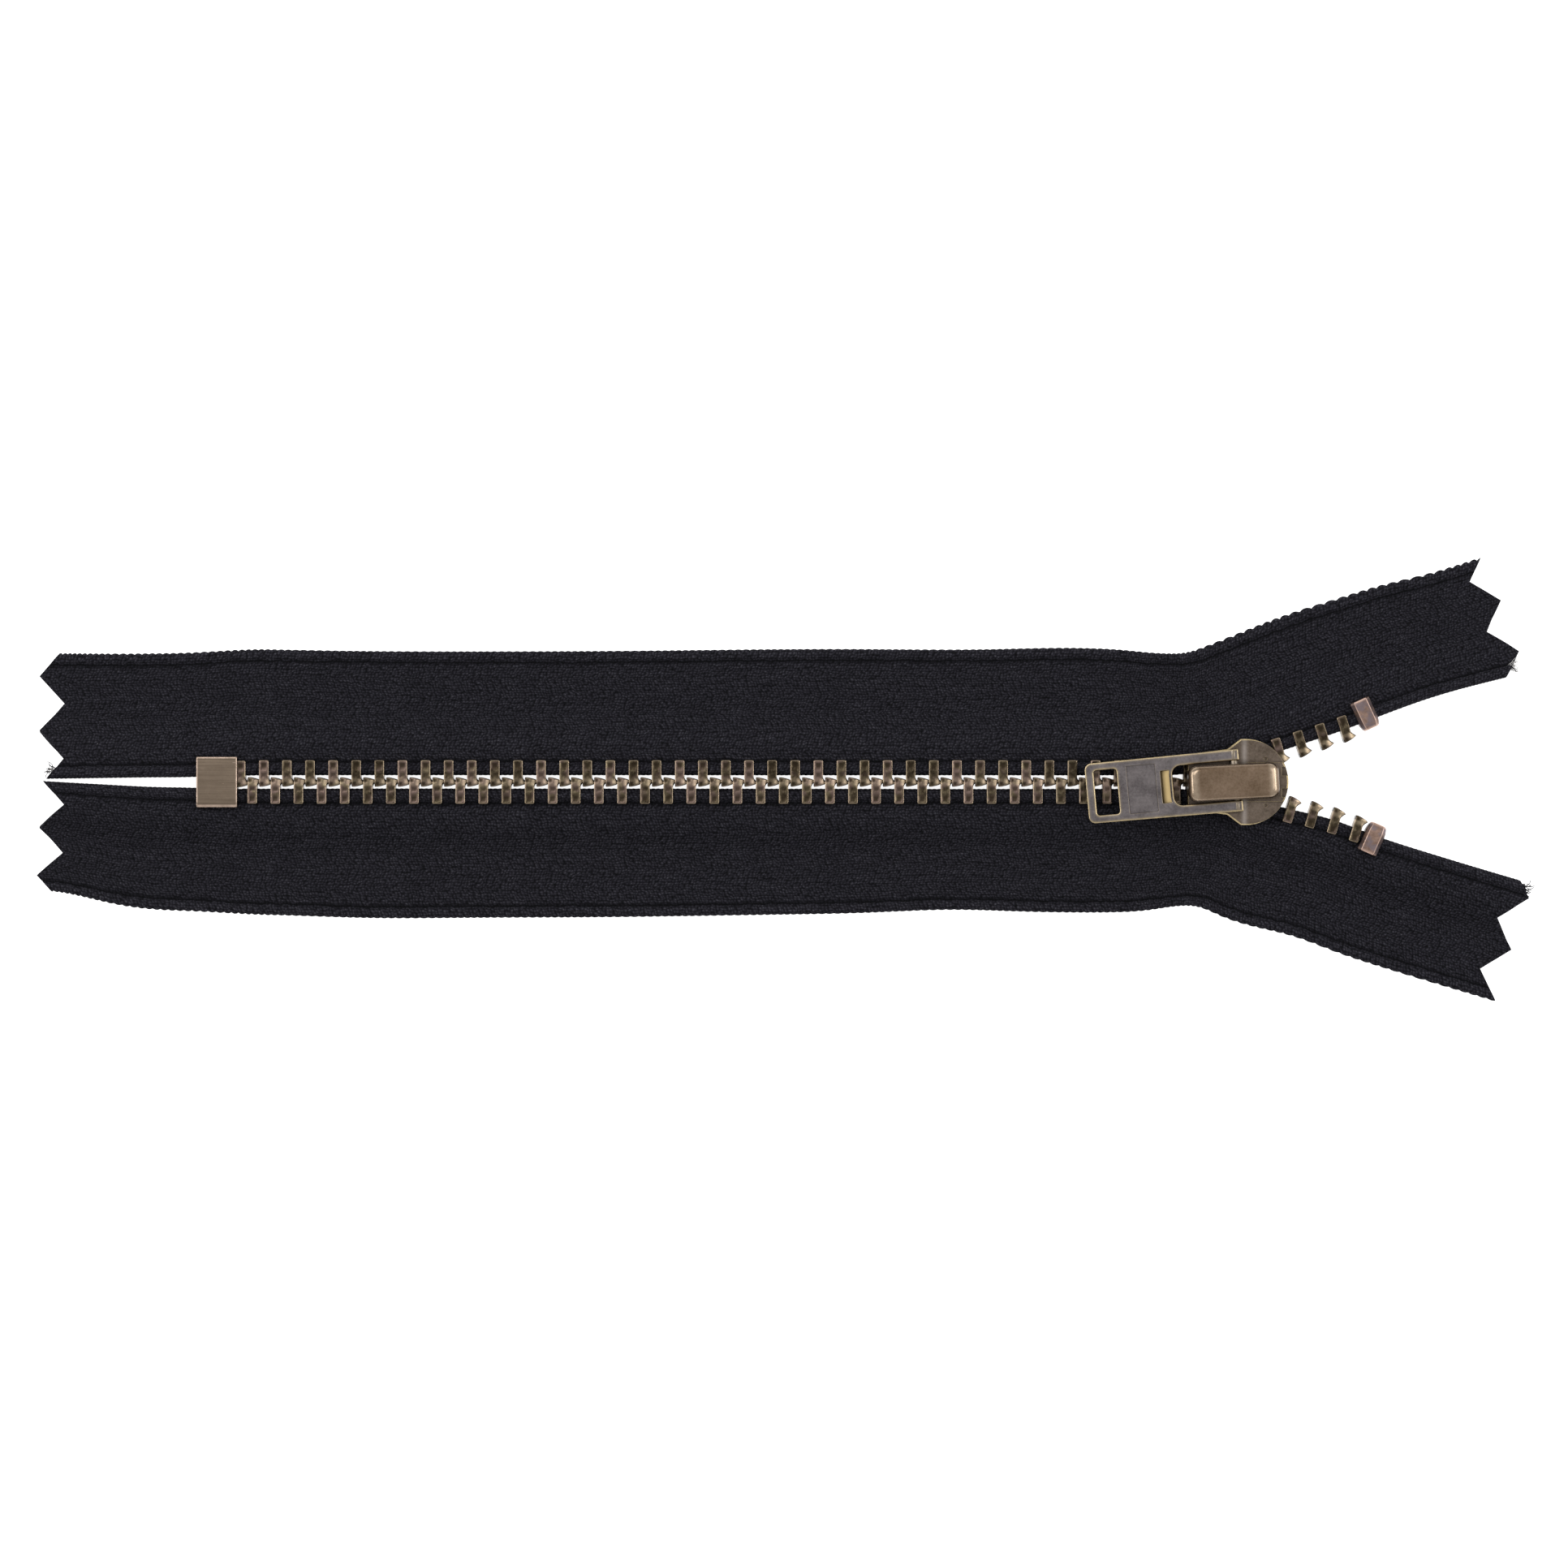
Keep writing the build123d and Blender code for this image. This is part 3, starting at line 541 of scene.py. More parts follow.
def metal_material(
    name, colours, roughness, edge=None, brushed=None, spread=0.0, patch_scale=300,
    stain=None, painted_glint_x=None,
):
    """Antique brass, or steel: a dark patina worn bright along its rims.

    Colours are those of the patina, of the metal and of its rims. A modelled piece marks in an
    attribute its worn rims with painted highlights, its polish, and its patina in hollows with
    painted shade. On the others the rims are the faces of chamfers and whatever lies as near to
    an edge as the radius edge. Ambient occlusion darkens all pieces as painted shade. Brushed
    gives a scale for each axis, spread how much the separate parts of a piece differ, and the
    last argument where along X a painted glint lies, a lighter band on upward faces.
    """
    speck_scale, stain_scale, break_scale, scratch_scale = 3400, 800, 1100, (700, 5200, 700)
    m = Nodes(bpy.data.materials.new(name))
    dark, base, rim = [srgb(*colour) for colour in colours]
    patches = m.noise(patch_scale, 4.0, 0.6)
    specks = m.noise(speck_scale, 2.0, 0.7)
    tone = m.linear(specks, 0.35, m.times(patches, 0.65))
    if brushed is not None:
        lines = m.noise(brushed, 3.0, 0.65)
        scratches = m.noise(scratch_scale, 1.0, 0.4)
        scratches = m.ramp(scratches, [(0.77, (0, 0, 0)), (0.86, (0.7, 0.7, 0.7))])
        tone = m.linear(lines, 0.6, m.times(tone, 0.4))
    geometry = m.add("NewGeometry").outputs
    if spread:
        own = m.linear(geometry["Random Per Island"], spread, -spread / 2)
        tone = m.math("ADD", tone, own)
    patina = m.ramp(tone, [(0.3, dark), (0.7, base)])
    if stain is not None:
        own = m.linear(geometry["Random Per Island"], 0.3, -0.15)
        stained = m.math("ADD", m.noise(stain_scale, 2.0, 0.5), own)
        stained = m.ramp(stained, [(0.42, (0, 0, 0)), (0.58, (1, 1, 1))])
        patina = m.mix(stained, patina, m.mix(tone, dark, srgb(*stain)))
    facing = m.axes(geometry["True Normal"])["Z"]
    # Painted highlight: a pale band on upward faces at one place along X, a glint across the slider's
    # cheeks.
    if painted_glint_x is not None:
        along = m.axes(m.add("TexCoord").outputs["Object"])["X"]
        light = m.bell(along, painted_glint_x, 0.33 * MM)
        upwards = m.math("GREATER_THAN", facing, 0.5)
        light = m.times(light, m.times(patches, upwards))
        patina = m.mix(light, patina, srgb(158, 150, 144))
    if edge is None:
        # A modelled piece's marks: wear with painted highlights, polish, and patina with painted
        # shade.
        finish_and_painted_light = m.add("Attribute", attribute_name="finish_and_painted_light").outputs["Vector"]
        wear_and_painted_highlight, polished, patina_and_painted_shade = m.axes(finish_and_painted_light)
    else:
        lean = m.math("ABSOLUTE", facing)
        off_wall, off_level = m.math("GREATER_THAN", lean, 0.3), m.math("LESS_THAN", lean, 0.94)
        wear_and_painted_highlight = m.math("MAXIMUM", m.times(off_wall, off_level), m.edges(edge, 0.03, 0.24))
    breaks = m.noise(break_scale, 3.0, 0.7)
    wear_and_painted_highlight = m.times(wear_and_painted_highlight, m.linear(breaks, 1.3, 0.1), clamp=True)
    colour = m.mix(wear_and_painted_highlight, patina, rim)
    if brushed is not None:
        colour = m.mix(scratches, colour, rim)
    if edge is None:
        colour = m.mix(polished, colour, srgb(168, 147, 105))
        # Darker from patina in hollows, and on the teeth from a painted shadow along each head's end.
        colour = m.mix(m.times(patina_and_painted_shade, 0.85), colour, dark)
    # Painted shade: the colour is darkened by ambient occlusion in recesses and between parts.
    shade = m.add("AmbientOcclusion", {"Distance": 0.7 * MM}, samples=6).outputs["AO"]
    shade = m.linear(m.math("POWER", shade, 1.3), 0.75, 0.25)
    colour = m.mix(1.0, colour, shade, blend="MULTIPLY")
    rough = m.linear(patches, 0.16, roughness - 0.08)
    rough = m.math("SUBTRACT", rough, m.times(wear_and_painted_highlight, 0.08))
    m.put(m.shader, {"Base Color": colour, "Metallic": 1.0, "Roughness": rough})
    height = m.linear(specks, 0.4, m.times(patches, 0.6))
    if brushed is not None:
        height = m.linear(lines, 0.8, height)
    normal = m.bump(height, 0.012 * MM, 0.6)
    if edge is not None:
        round_normal = m.add("Bevel", {"Radius": edge}, samples=4).outputs[0]
        m.put(normal, {"Normal": round_normal})
    return m.owner


def matte_nodes(name, colour, specular=0.05):
    m = Nodes(bpy.data.materials.new(name))
    m.put(m.shader, {"Base Color": colour, "Roughness": 0.9, "Specular IOR Level": specular})
    return m


cloth = cloth_material()

# Where the slider's painted glint lies: a lighter band just ahead of the pin.
painted_glint_shift = Vector((1.15 * MM, 0, 0))  # from the pin towards the arms
painted_glint_place = Vector(joints["pull_tab_swing"]["pos_m"]) + painted_glint_shift
painted_glint_place = frame["nodes"]["slider_body"].matrix_world.inverted() @ painted_glint_place

metals = {
    "stop": metal_material(
        "brushed_brass", [(84, 73, 62), (114, 101, 88), (190, 168, 152)], 0.4,
        brushed=(90, 5200, 5200),
    ),
    "end": metal_material(
        "end_clip_brass", [(88, 70, 62), (150, 125, 112), (200, 170, 154)], 0.36,
        patch_scale=700, stain=(128, 118, 124),
    ),
    "teeth": metal_material(
        "tooth_brass", [(42, 35, 26), (110, 99, 79), (172, 154, 130)], 0.36,
        spread=0.3, patch_scale=1500, stain=(116, 98, 91),
    ),
    "slider": metal_material(
        "slider_brass", [(64, 55, 46), (112, 100, 90), (180, 162, 122)], 0.34,
        edge=0.1 * MM, painted_glint_x=painted_glint_place.x,
    ),
    "crown": metal_material(
        "crown_brass", [(84, 68, 52), (127, 109, 93), (150, 134, 116)], 0.32,
    ),
    "tab": metal_material(
        "tab_brass", [(68, 63, 64), (118, 112, 112), (180, 161, 122)], 0.36,
        patch_scale=420,
    ),
    "spring": metal_material(
        "spring_steel", [(118, 118, 121), (150, 150, 153), (188, 188, 191)], 0.3,
    ),
}
for name in ("slider_body", "lock_pawl"):
    node = frame["nodes"][name]
    node.data.materials.clear()
    node.data.materials.append(metals["slider"])


# ---- rigid shapes
class Shape:
    """Points and faces gathered for one mesh, with each point's wear, polish and patina, and painted
    light.
    """

    def __init__(self):
        self.points, self.finish_and_painted_light, self.faces = np.empty((0, 3)), np.empty((0, 3)), []

    def add(self, points, faces, finish_and_painted_light):
        """Marks are wear with painted highlights, polish, and patina with painted shade, for each
        point or for all of them.
        """
        first = len(self.points)
        points = np.asarray(points, float).reshape(-1, 3)
        self.faces += [tuple(first + i for i in face) for face in faces]
        self.points = np.concatenate([self.points, points])
        self.finish_and_painted_light = np.concatenate([self.finish_and_painted_light, np.broadcast_to(finish_and_painted_light, points.shape)])

    def rings(self, rings, finishes=(0, 0, 0), closed_ends=False):
        """Skin through rings of as many points each, from the upper one to the lower one.

        Finishes are one for each ring, or one for all of them.
        """
        count = len(rings[0])
        faces = []
        for k in range(len(rings) - 1):
            a, b = k * count, (k + 1) * count
            for i in range(count):
                j = (i + 1) % count
                faces.append((a + i, b + i, b + j, a + j))
        if closed_ends:
            faces.append(tuple(range(count)))
            faces.append(tuple((len(rings) - 1) * count + i for i in reversed(range(count))))
        finishes = np.broadcast_to(finishes, (len(rings), 3))
        self.add(np.concatenate(rings), faces, np.repeat(finishes, count, axis=0))

    def build(self, name, material, crease=40.0):
        mesh = smooth_mesh(name, self.points, self.faces, "finish_and_painted_light", self.finish_and_painted_light)
        mesh.set_sharp_from_angle(angle=math.radians(crease))
        return add_object(name, mesh, material)


def unit(vector):
    return vector / np.linalg.norm(vector)


def rounded(corners, steps=6, leads=()):
    """Outline through corners given as (x, y, radius), with points at leads beside each."""
    points = []
    for i, (x, y, radius) in enumerate(corners):
        corner = np.array((x, y), float)
        sides = []
        for other in (corners[i - 1], corners[(i + 1) % len(corners)]):
            sides.append(unit(np.array(other[:2], float) - corner))
        half = math.acos(np.clip(sides[0] @ sides[1], -1, 1)) / 2
        centre = corner + unit(sides[0] + sides[1]) * radius / math.sin(half)
        reach = radius / math.tan(half)
        spokes = [corner + side * reach - centre for side in sides]
        turn = math.pi - 2 * half
        points += [corner + sides[0] * (reach + lead) for lead in reversed(leads)]
        for share in np.linspace(0, 1, steps + 1):
            spoke = spokes[0] * math.sin((1 - share) * turn) + spokes[1] * math.sin(share * turn)
            points.append(centre + spoke / math.sin(turn))
        points += [corner + sides[1] * (reach + lead) for lead in leads]
    return np.array(points)


def inset(corners, distance):
    """Corners moved to the left of the outline, with their rounding kept parallel."""
    moved = []
    for i, (x, y, radius) in enumerate(corners):
        corner = np.array((x, y), float)
        into = unit(corner - np.array(corners[i - 1][:2], float))
        out = unit(np.array(corners[(i + 1) % len(corners)][:2], float) - corner)
        normals = np.array([[-into[1], into[0]], [-out[1], out[0]]])
        place = corner + distance * normals.sum(axis=0) / (1 + normals[0] @ normals[1])
        turns_left = into[0] * out[1] - into[1] * out[0] > 0
        kept = radius - distance if turns_left else radius + distance
        moved.append((*place, max(kept, 0.02 * MM)))
    return moved


def at_height(loop, z):
    return np.column_stack([loop, np.broadcast_to(z, len(loop))])


def plate(shape, outer, holes, hollows, half, edge, spans=1, leads=()):
    """Flat plate with rounded rims, holes through it, and hollows in its upper face.

    Each outline is corners that run with the metal on their left. Each of the hollows is (outline,
    floor height of a point, wear, polish and patina of the floor). Spans divide the height of the
    outer wall.
    """
    upper_rim = [(2.6 * edge, half, 0), (1.5 * edge, half, 0.16)]
    for turn, rub in zip(np.radians([90, 60, 30, 0]), [0.5, 1, 1, 0.5]):
        depth = edge * (1 - math.sin(turn))
        upper_rim.append((edge * (1 - math.cos(turn)), half - depth, rub))
    wall = half - 1.9 * edge
    profile = upper_rim + [(0, z, 0) for z in np.linspace(wall, -wall, spans + 1)]
    profile += [(depth, -height, rub) for depth, height, rub in reversed(upper_rim)]
    finishes = [(rub, 0, 0) for _, _, rub in profile]
    flat_loops = []
    for corners in [outer] + holes:
        rings = [
            at_height(rounded(inset(corners, depth), leads=leads), height)
            for depth, height, _ in profile
        ]
        shape.rings(rings, finishes)
        flat_loops.append(rounded(inset(corners, profile[0][0]), leads=leads))
    hollow_loops = []
    for corners, floor, floor_finish in hollows:
        lip, rub = 0.06 * MM, 0.35 + 0.4 * floor_finish[1]
        edges = [rounded(inset(corners, share * lip)) for share in (1, 0.3, 0, -0.1, -1)]
        rim, brow, top, base, foot = edges
        steps = [
            (at_height(rim, half), (0, 0, 0)),
            (at_height(brow, half - 0.3 * lip), (rub, 0, 0)),
            (at_height(top, half - lip), (0.6 * rub, 0, 0)),
            (at_height(base, floor(base)), (0, 0, 0.6)),
            (at_height(foot, floor(foot)), floor_finish),
        ]
        shape.rings([ring for ring, _ in steps], [finish_and_painted_light for _, finish_and_painted_light in steps])
        shape.add(at_height(foot, floor(foot)), [tuple(reversed(range(len(foot))))], floor_finish)
        hollow_loops.append(rim)
    fill(shape, flat_loops + hollow_loops, half, upwards=True)
    fill(shape, flat_loops, -half, upwards=False)


def fill(shape, loops, z, upwards):
    """Flat face between outlines."""
    outlines = [[Vector((x, y, 0)) for x, y in loop] for loop in loops]
    triangles = tessellate_polygon(outlines)
    points = np.concatenate(loops)
    faces = []
    for a, b, c in triangles:
        first, second = points[b] - points[a], points[c] - points[a]
        is_up = first[0] * second[1] - first[1] * second[0] > 0
        faces.append((a, b, c) if is_up == upwards else (a, c, b))
    shape.add(at_height(points, z), faces, (0, 0, 0))


def barrel(shape, low, high, radius, edge, turns=28):
    """Round bar along Y."""
    turn = np.linspace(0, 2 * math.pi, turns, endpoint=False)
    circle = np.stack([np.cos(turn), np.sin(turn)])
    steps = [(low, radius - edge, 0.2), (low + 0.3 * edge, radius - 0.3 * edge, 1)]
    steps += [(low + edge, radius, 0.3), (high - edge, radius, 0.3)]
    steps += [(high - 0.3 * edge, radius - 0.3 * edge, 1), (high, radius - edge, 0.2)]
    rings = []
    for y, size, _ in steps:
        x, z = circle * size
        rings.append(np.column_stack([x, np.full(turns, y), z]))
    shape.rings(rings, [(rub, 0, 0) for _, _, rub in steps], closed_ends=True)


# ---- pull tab
def clockwise(x_low, x_high, half_width, radius):
    """Outline of a hole between two places along X."""
    y = half_width
    corners = [(x_low, -y), (x_low, y), (x_high, y), (x_high, -y)]
    return [(*corner, radius) for corner in corners]


def pull_tab():
    """Plate with a fork, an end window, a bare panel and a sloping recess, on its pin."""
    half_free, half_fork, half_thick = 3.77 * MM, 3.9 * MM, 0.5 * MM
    reach, fork_depth, half_gap = 18.7 * MM, 7.8 * MM, 2.5 * MM
    arm_end, eye_radius, pin_radius = 0.66 * MM, 0.55 * MM, 0.49 * MM
    side_shift, stop_clearance = 0.2 * MM, 0.09 * MM
    outer = [
        (-reach, -half_free, 0.85 * MM),
        (arm_end, -half_fork, 0.1 * MM),
        (arm_end, -half_gap, 0.1 * MM),
        (-fork_depth, -half_gap, 1.1 * MM),
    ]
    outer += [(x, -y, radius) for x, y, radius in reversed(outer)]
    window = clockwise(-reach + 1.1 * MM, -reach + 3.95 * MM, 2.83 * MM, 0.4 * MM)
    panel = clockwise(-13.5 * MM, -9.9 * MM, 3.0 * MM, 0.1 * MM)
    slope_start, slope_end = -9.3 * MM, -8.1 * MM
    slope = clockwise(slope_start, slope_end, 2.05 * MM, 0.15 * MM)

    def panel_floor(loop):
        return half_thick - 0.12 * MM

    def slope_floor(loop):
        share = (slope_end - loop[:, 0]) / (slope_end - slope_start)
        return half_thick - (0.1 + 0.42 * share) * MM

    hollows = [(panel, panel_floor, (0, 0, 0.15)), (slope, slope_floor, (0, 1, 0))]
    shape = Shape()
    plate(shape, outer, [window], hollows, half_thick, 0.16 * MM)
    for sign in (-1, 1):
        ends = sorted((sign * (half_gap + 0.02 * MM), sign * (half_fork - 0.06 * MM)))
        barrel(shape, *ends, eye_radius, 0.12 * MM)
    barrel(shape, -half_gap, half_gap, pin_radius, 0.05 * MM)
    obj = shape.build("pull_tab_plate", metals["tab"])
    obj.data.transform(Matrix.Translation((0, side_shift, 0)))
    hinge = joints["pull_tab_swing"]
    pin = Vector(hinge["pos_m"])
    yaw = math.atan2(-hinge["axis"][0], hinge["axis"][1])
    drop = pin.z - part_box("bottom_stop")[1].z - stop_clearance - half_thick
    tilt = math.asin(drop / reach)
    turn = Matrix.Rotation(yaw, 4, "Z") @ Matrix.Rotation(-tilt, 4, "Y")
    obj.data.transform(Matrix.Translation(pin) @ turn)
    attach(obj, "pull_tab")
    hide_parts("pull_tab")


pull_tab()


# ---- crown and lock spring
def crown():
    """Pillow over the pin and the lock, with rolled edges, turned a little on the slider."""
    half_length, half_width, corner = 5.68 * MM, 2.24 * MM, 1.15 * MM
    side_roll, end_roll, drop = 0.75 * MM, 1.1 * MM, 1.0 * MM
    yaw, shift = math.radians(2.9), 0.3 * MM
    low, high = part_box("slider_crown")
    steps = [(0, low.z), (0, high.z - drop)]
    for angle in np.radians([15, 30, 45, 60, 72, 82]):
        steps.append((1 - math.cos(angle), high.z - drop + drop * math.sin(angle) - 0.03 * MM))
    steps.append((1.3, high.z - 0.02 * MM))
    steps.append((1.8, high.z))
    rings = []
    for roll, z in reversed(steps):
        x, y = half_length - roll * end_roll, half_width - roll * side_roll
        radius = max(corner - 0.75 * roll * side_roll, 0.4 * MM)
        loop = rounded([(-x, -y, radius), (x, -y, radius), (x, y, radius), (-x, y, radius)])
        rings.append(at_height(loop, z))
    shape = Shape()
    shape.rings(rings, closed_ends=True)
    # Painted highlights: lighter bands across both rolled ends of the crown.
    from_end = half_length - np.abs(shape.points[:, 0])
    shape.finish_and_painted_light[:, 0] = inside(from_end, 0.35 * MM, 1.25 * MM, 0.5 * MM)
    obj = shape.build("crown_shell", metals["crown"], crease=50.0)
    middle = (low + high) / 2
    place = Matrix.Translation((middle.x - shift, middle.y, 0))
    obj.data.transform(place @ Matrix.Rotation(yaw, 4, "Z"))
    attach(obj, "slider")
    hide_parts("slider_crown")


crown()


def lock_leaf():
    """The lock's leaf spring: its foot along the ceiling, the rest slanting down towards the pawl."""
    low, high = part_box("lock_spring")
    thickness, foot, sections = 0.12 * MM, 1.8 * MM, 16
    foot_x = high.x - foot
    corners = [(low.y, -thickness), (high.y, -thickness), (high.y, 0), (low.y, 0)]
    rings = []
    for x in [high.x, *np.linspace(foot_x, low.x, sections)]:
        slant = max(foot_x - x, 0) / (foot_x - low.x)
        top = high.z - slant * (high.z - low.z - thickness)
        rings.append([(x, y, top + z) for y, z in corners])
    shape = Shape()
    shape.rings(rings, (0.2, 0, 0), closed_ends=True)
    obj = shape.build("lock_leaf_spring", metals["spring"])
    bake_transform(obj)
    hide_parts("lock_spring")


lock_leaf()


# ---- stops
def bottom_stop():
    """Strip folded round both beads, with jaws that hold the tapes."""
    half_length, half_width, half_height = 2.56 * MM, 3.2 * MM, 1.5 * MM
    half_slot, web = 0.33 * MM, 0.85 * MM
    back, front, tiny = 0.22 * MM, 0.42 * MM, 0.05 * MM
    leads = (0.1 * MM, 0.3 * MM)
    shift = Vector((0.22 * MM, -0.02 * MM, 0))
    outer = []
    for sign, corner in ((1, back), (-1, front)):
        outer += [
            (sign * half_width, sign * -half_height, corner),
            (sign * half_width, sign * -half_slot, tiny),
            (sign * web, sign * -half_slot, tiny),
            (sign * web, sign * half_slot, tiny),
            (sign * half_width, sign * half_slot, tiny),
            (sign * half_width, sign * half_height, corner),
        ]
    outer = outer[-1:] + outer[:-1]
    shape = Shape()
    plate(shape, outer, [], [], half_length, 0.13 * MM, spans=4, leads=leads)
    points, finish_and_painted_light = shape.points, shape.finish_and_painted_light
    fold = (np.abs(points[:, 0]) > half_width - 0.6 * MM + back) & (np.abs(points[:, 1]) > 1.0 * MM)
    fold &= (points[:, 0] < 0) | (np.abs(points[:, 0]) > half_width - back)
    finish_and_painted_light[fold, 0] = np.maximum(finish_and_painted_light[fold, 0], 0.85)
    crease = np.abs(points[:, 0] + half_width - front - leads[0]) < 0.02 * MM
    finish_and_painted_light[crease, 2] = 1.0
    shape.points = points[:, [2, 0, 1]]
    obj = shape.build("bottom_stop_clip", metals["stop"])
    low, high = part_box("bottom_stop")
    obj.data.transform(Matrix.Translation((low + high) / 2 + shift))
    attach(obj, frame["nodes"]["bottom_stop"]["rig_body"])
    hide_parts("bottom_stop")


def top_stop(side):
    """Clip folded round one bead: flat on top between two ridges, and leaning a little."""
    half_length, half_width, half_height = 1.95 * MM, 1.27 * MM, 1.45 * MM
    ridge, bevel, fold_start = 0.82 * MM, 0.5 * MM, 0.7 * MM
    shift_x, shift_out = {"left": (0.03, 0.33), "right": (-0.36, -0.75)}[side]
    angle = spread_angle[side] + math.radians(7)
    outer = []
    for sign in (-1, 1):
        outer += [
            (sign * -half_width, sign * (half_height - bevel), 0.12 * MM),
            (sign * -half_width, sign * (bevel - half_height), 0.12 * MM),
            (sign * -ridge, sign * -half_height, 0.06 * MM),
            (sign * ridge, sign * -half_height, 0.06 * MM),
        ]
    outer = outer[1:] + outer[:1]
    shape = Shape()
    plate(shape, outer, [], [], half_length, 0.2 * MM, spans=8, leads=(0.07 * MM,))
    points, finish_and_painted_light = shape.points, shape.finish_and_painted_light
    on_ridge = np.abs(np.abs(points[:, 0]) - ridge) < 0.05 * MM
    on_ridge &= np.abs(points[:, 1]) > half_height - 0.1 * MM
    finish_and_painted_light[on_ridge, 0] = np.maximum(finish_and_painted_light[on_ridge, 0], 0.9)
    fold = np.clip((points[:, 2] - fold_start) / (half_length - fold_start), 0, 1)
    points[:, 0] *= 1 - 0.24 * fold**2
    points[:, 1] *= 1 - 0.3 * fold**2.5
    low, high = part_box(f"{side}_top_stop")
    sign = outwards[side]
    middle = (low + high) / 2 + Vector((shift_x * MM, sign * shift_out * MM, 0))
    u, z, w = points.T
    x = middle.x + u * math.cos(angle) + w * math.sin(angle)
    y = middle.y + sign * (u * math.sin(angle) - w * math.cos(angle))
    shape.points = np.stack([x, y, middle.z + z], axis=-1)
    if side == "left":
        shape.faces = [face[::-1] for face in shape.faces]
    obj = shape.build(f"{side}_top_clip", metals["end"])
    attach(obj, frame["nodes"][f"{side}_top_stop"]["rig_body"])
    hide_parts(f"{side}_top_stop")


bottom_stop()
for side in SIDES:
    top_stop(side)


# ---- teeth
def tooth_shape(shape, place):
    """One tooth: a leg over the bead, and a head that flares towards +X and slopes there.

    u runs along the chain and w from the middle of the bead towards the other row.
    """
    leg_end, head_end, half_leg, half_height = -1.0 * MM, 2.33 * MM, 0.58 * MM, 1.25 * MM
    flare_start, flare_place, flare = 1.15 * MM, 1.83 * MM, 0.53 * MM
    leg_corner, head_corner, nose_u = 0.14 * MM, 0.16 * MM, -0.45 * MM
    rim_drop, pit_drop, facet_drop, nose_drop = 0.1, 0.09, 0.32, 0.22  # in millimetres
    near_leg = leg_end + leg_corner * np.array([0, 0.12, 0.4, 1.0])
    middle = np.array([-0.72, -0.62, -0.2, 0.2, 0.3, 0.5, 0.62, 0.72, 0.95, 1.1, 1.2, 1.4, 1.6, 1.72])
    near_head = flare_place + (head_end - flare_place) * np.array([0, 0.25, 0.5, 0.72, 0.88, 0.97])
    w = np.concatenate([near_leg, middle * MM, near_head])
    leg_share = np.clip((leg_end + leg_corner - w) / leg_corner, 0, 1)
    leg_loss = leg_corner * (1 - np.sqrt(1 - leg_share**2))
    head_share = np.clip((w - head_end + head_corner) / head_corner, 0, 1)
    left = -half_leg + leg_loss
    left += (nose_u + half_leg) * (1 - np.sqrt(1 - head_share**2))
    flare_share = np.clip((w - flare_start) / (flare_place - flare_start), 0, 1)
    right = half_leg - leg_loss + flare * flare_share**1.35
    end_share = np.clip((w - flare_place) / (head_end - flare_place), 0, 1)
    tip = half_leg + flare
    end_edge = nose_u + (tip - nose_u) * (1 - end_share**1.5) ** 0.75
    right = np.where(end_share > 0, end_edge, right)
    shares = np.array([0, 0.05, 0.12, 0.2, 0.28, 0.4, 0.52, 0.64, 0.74, 0.84, 0.92, 0.97, 1.0])
    u = left[:, None] + (right - left)[:, None] * shares
    w = np.repeat(w[:, None], len(shares), axis=1)
    to_side = np.minimum(u - left[:, None], right[:, None] - u)
    to_end = np.minimum(w - leg_end, (head_end - w) * 1.5)
    rim = 1 - smooth(np.minimum(to_side, to_end) / (0.12 * MM))
    blur = 0.09 * MM
    leg_pit = inside(u, -0.34 * MM, 0.34 * MM, 2 * blur) * inside(w, -0.7 * MM, 0.18 * MM, 2 * blur)
    waist_pit = 0.7 * inside(u, -0.3 * MM, 0.34 * MM, blur) * inside(w, 0.6 * MM, 1.1 * MM, blur)
    head_pit = inside(u, -0.42 * MM, 0.02 * MM, blur) * inside(w, 1.72 * MM, 2.16 * MM, blur)
    pits = np.clip(leg_pit + waist_pit + head_pit, 0, 1)
    facet = smooth((u - 0.08 * MM) / (0.8 * MM)) * smooth((w - 1.0 * MM) / (0.4 * MM))
    nose = smooth((w - 1.95 * MM) / (0.4 * MM))
    drop = rim_drop * rim + pit_drop * pits + facet_drop * facet + nose_drop * nose
    z = half_height - drop * MM
    # Painted shadow: a dark band along the rounded end of the head, kept in one channel with the
    # pits' patina.
    shadow = rim * smooth((w - flare_place + 0.15 * MM) / (0.2 * MM))
    patina_and_painted_shade = np.maximum(pits, shadow)
    head = smooth((w - 1.1 * MM) / (0.3 * MM))
    # Wear along the rims, and a painted highlight on the head's sloping facet; the head is also a
    # little lighter.
    wear_and_painted_highlight = 0.65 * rim * (1 - shadow) + 0.5 * facet + 0.22 * head * (1 - patina_and_painted_shade)
    finish_and_painted_light = np.stack([np.minimum(wear_and_painted_highlight, 1), 0 * rim, patina_and_painted_shade], axis=-1).reshape(-1, 3)
    upper = np.stack([u, w, z], axis=-1).reshape(-1, 3)
    lower = np.stack([u, w, -z], axis=-1).reshape(-1, 3)
    faces, _ = slab_faces(*u.shape)
    points, mirrored = place(np.concatenate([upper, lower]))
    if not mirrored:
        faces = [face[::-1] for face in faces]
    shape.add(points, faces, np.concatenate([finish_and_painted_light, finish_and_painted_light]))


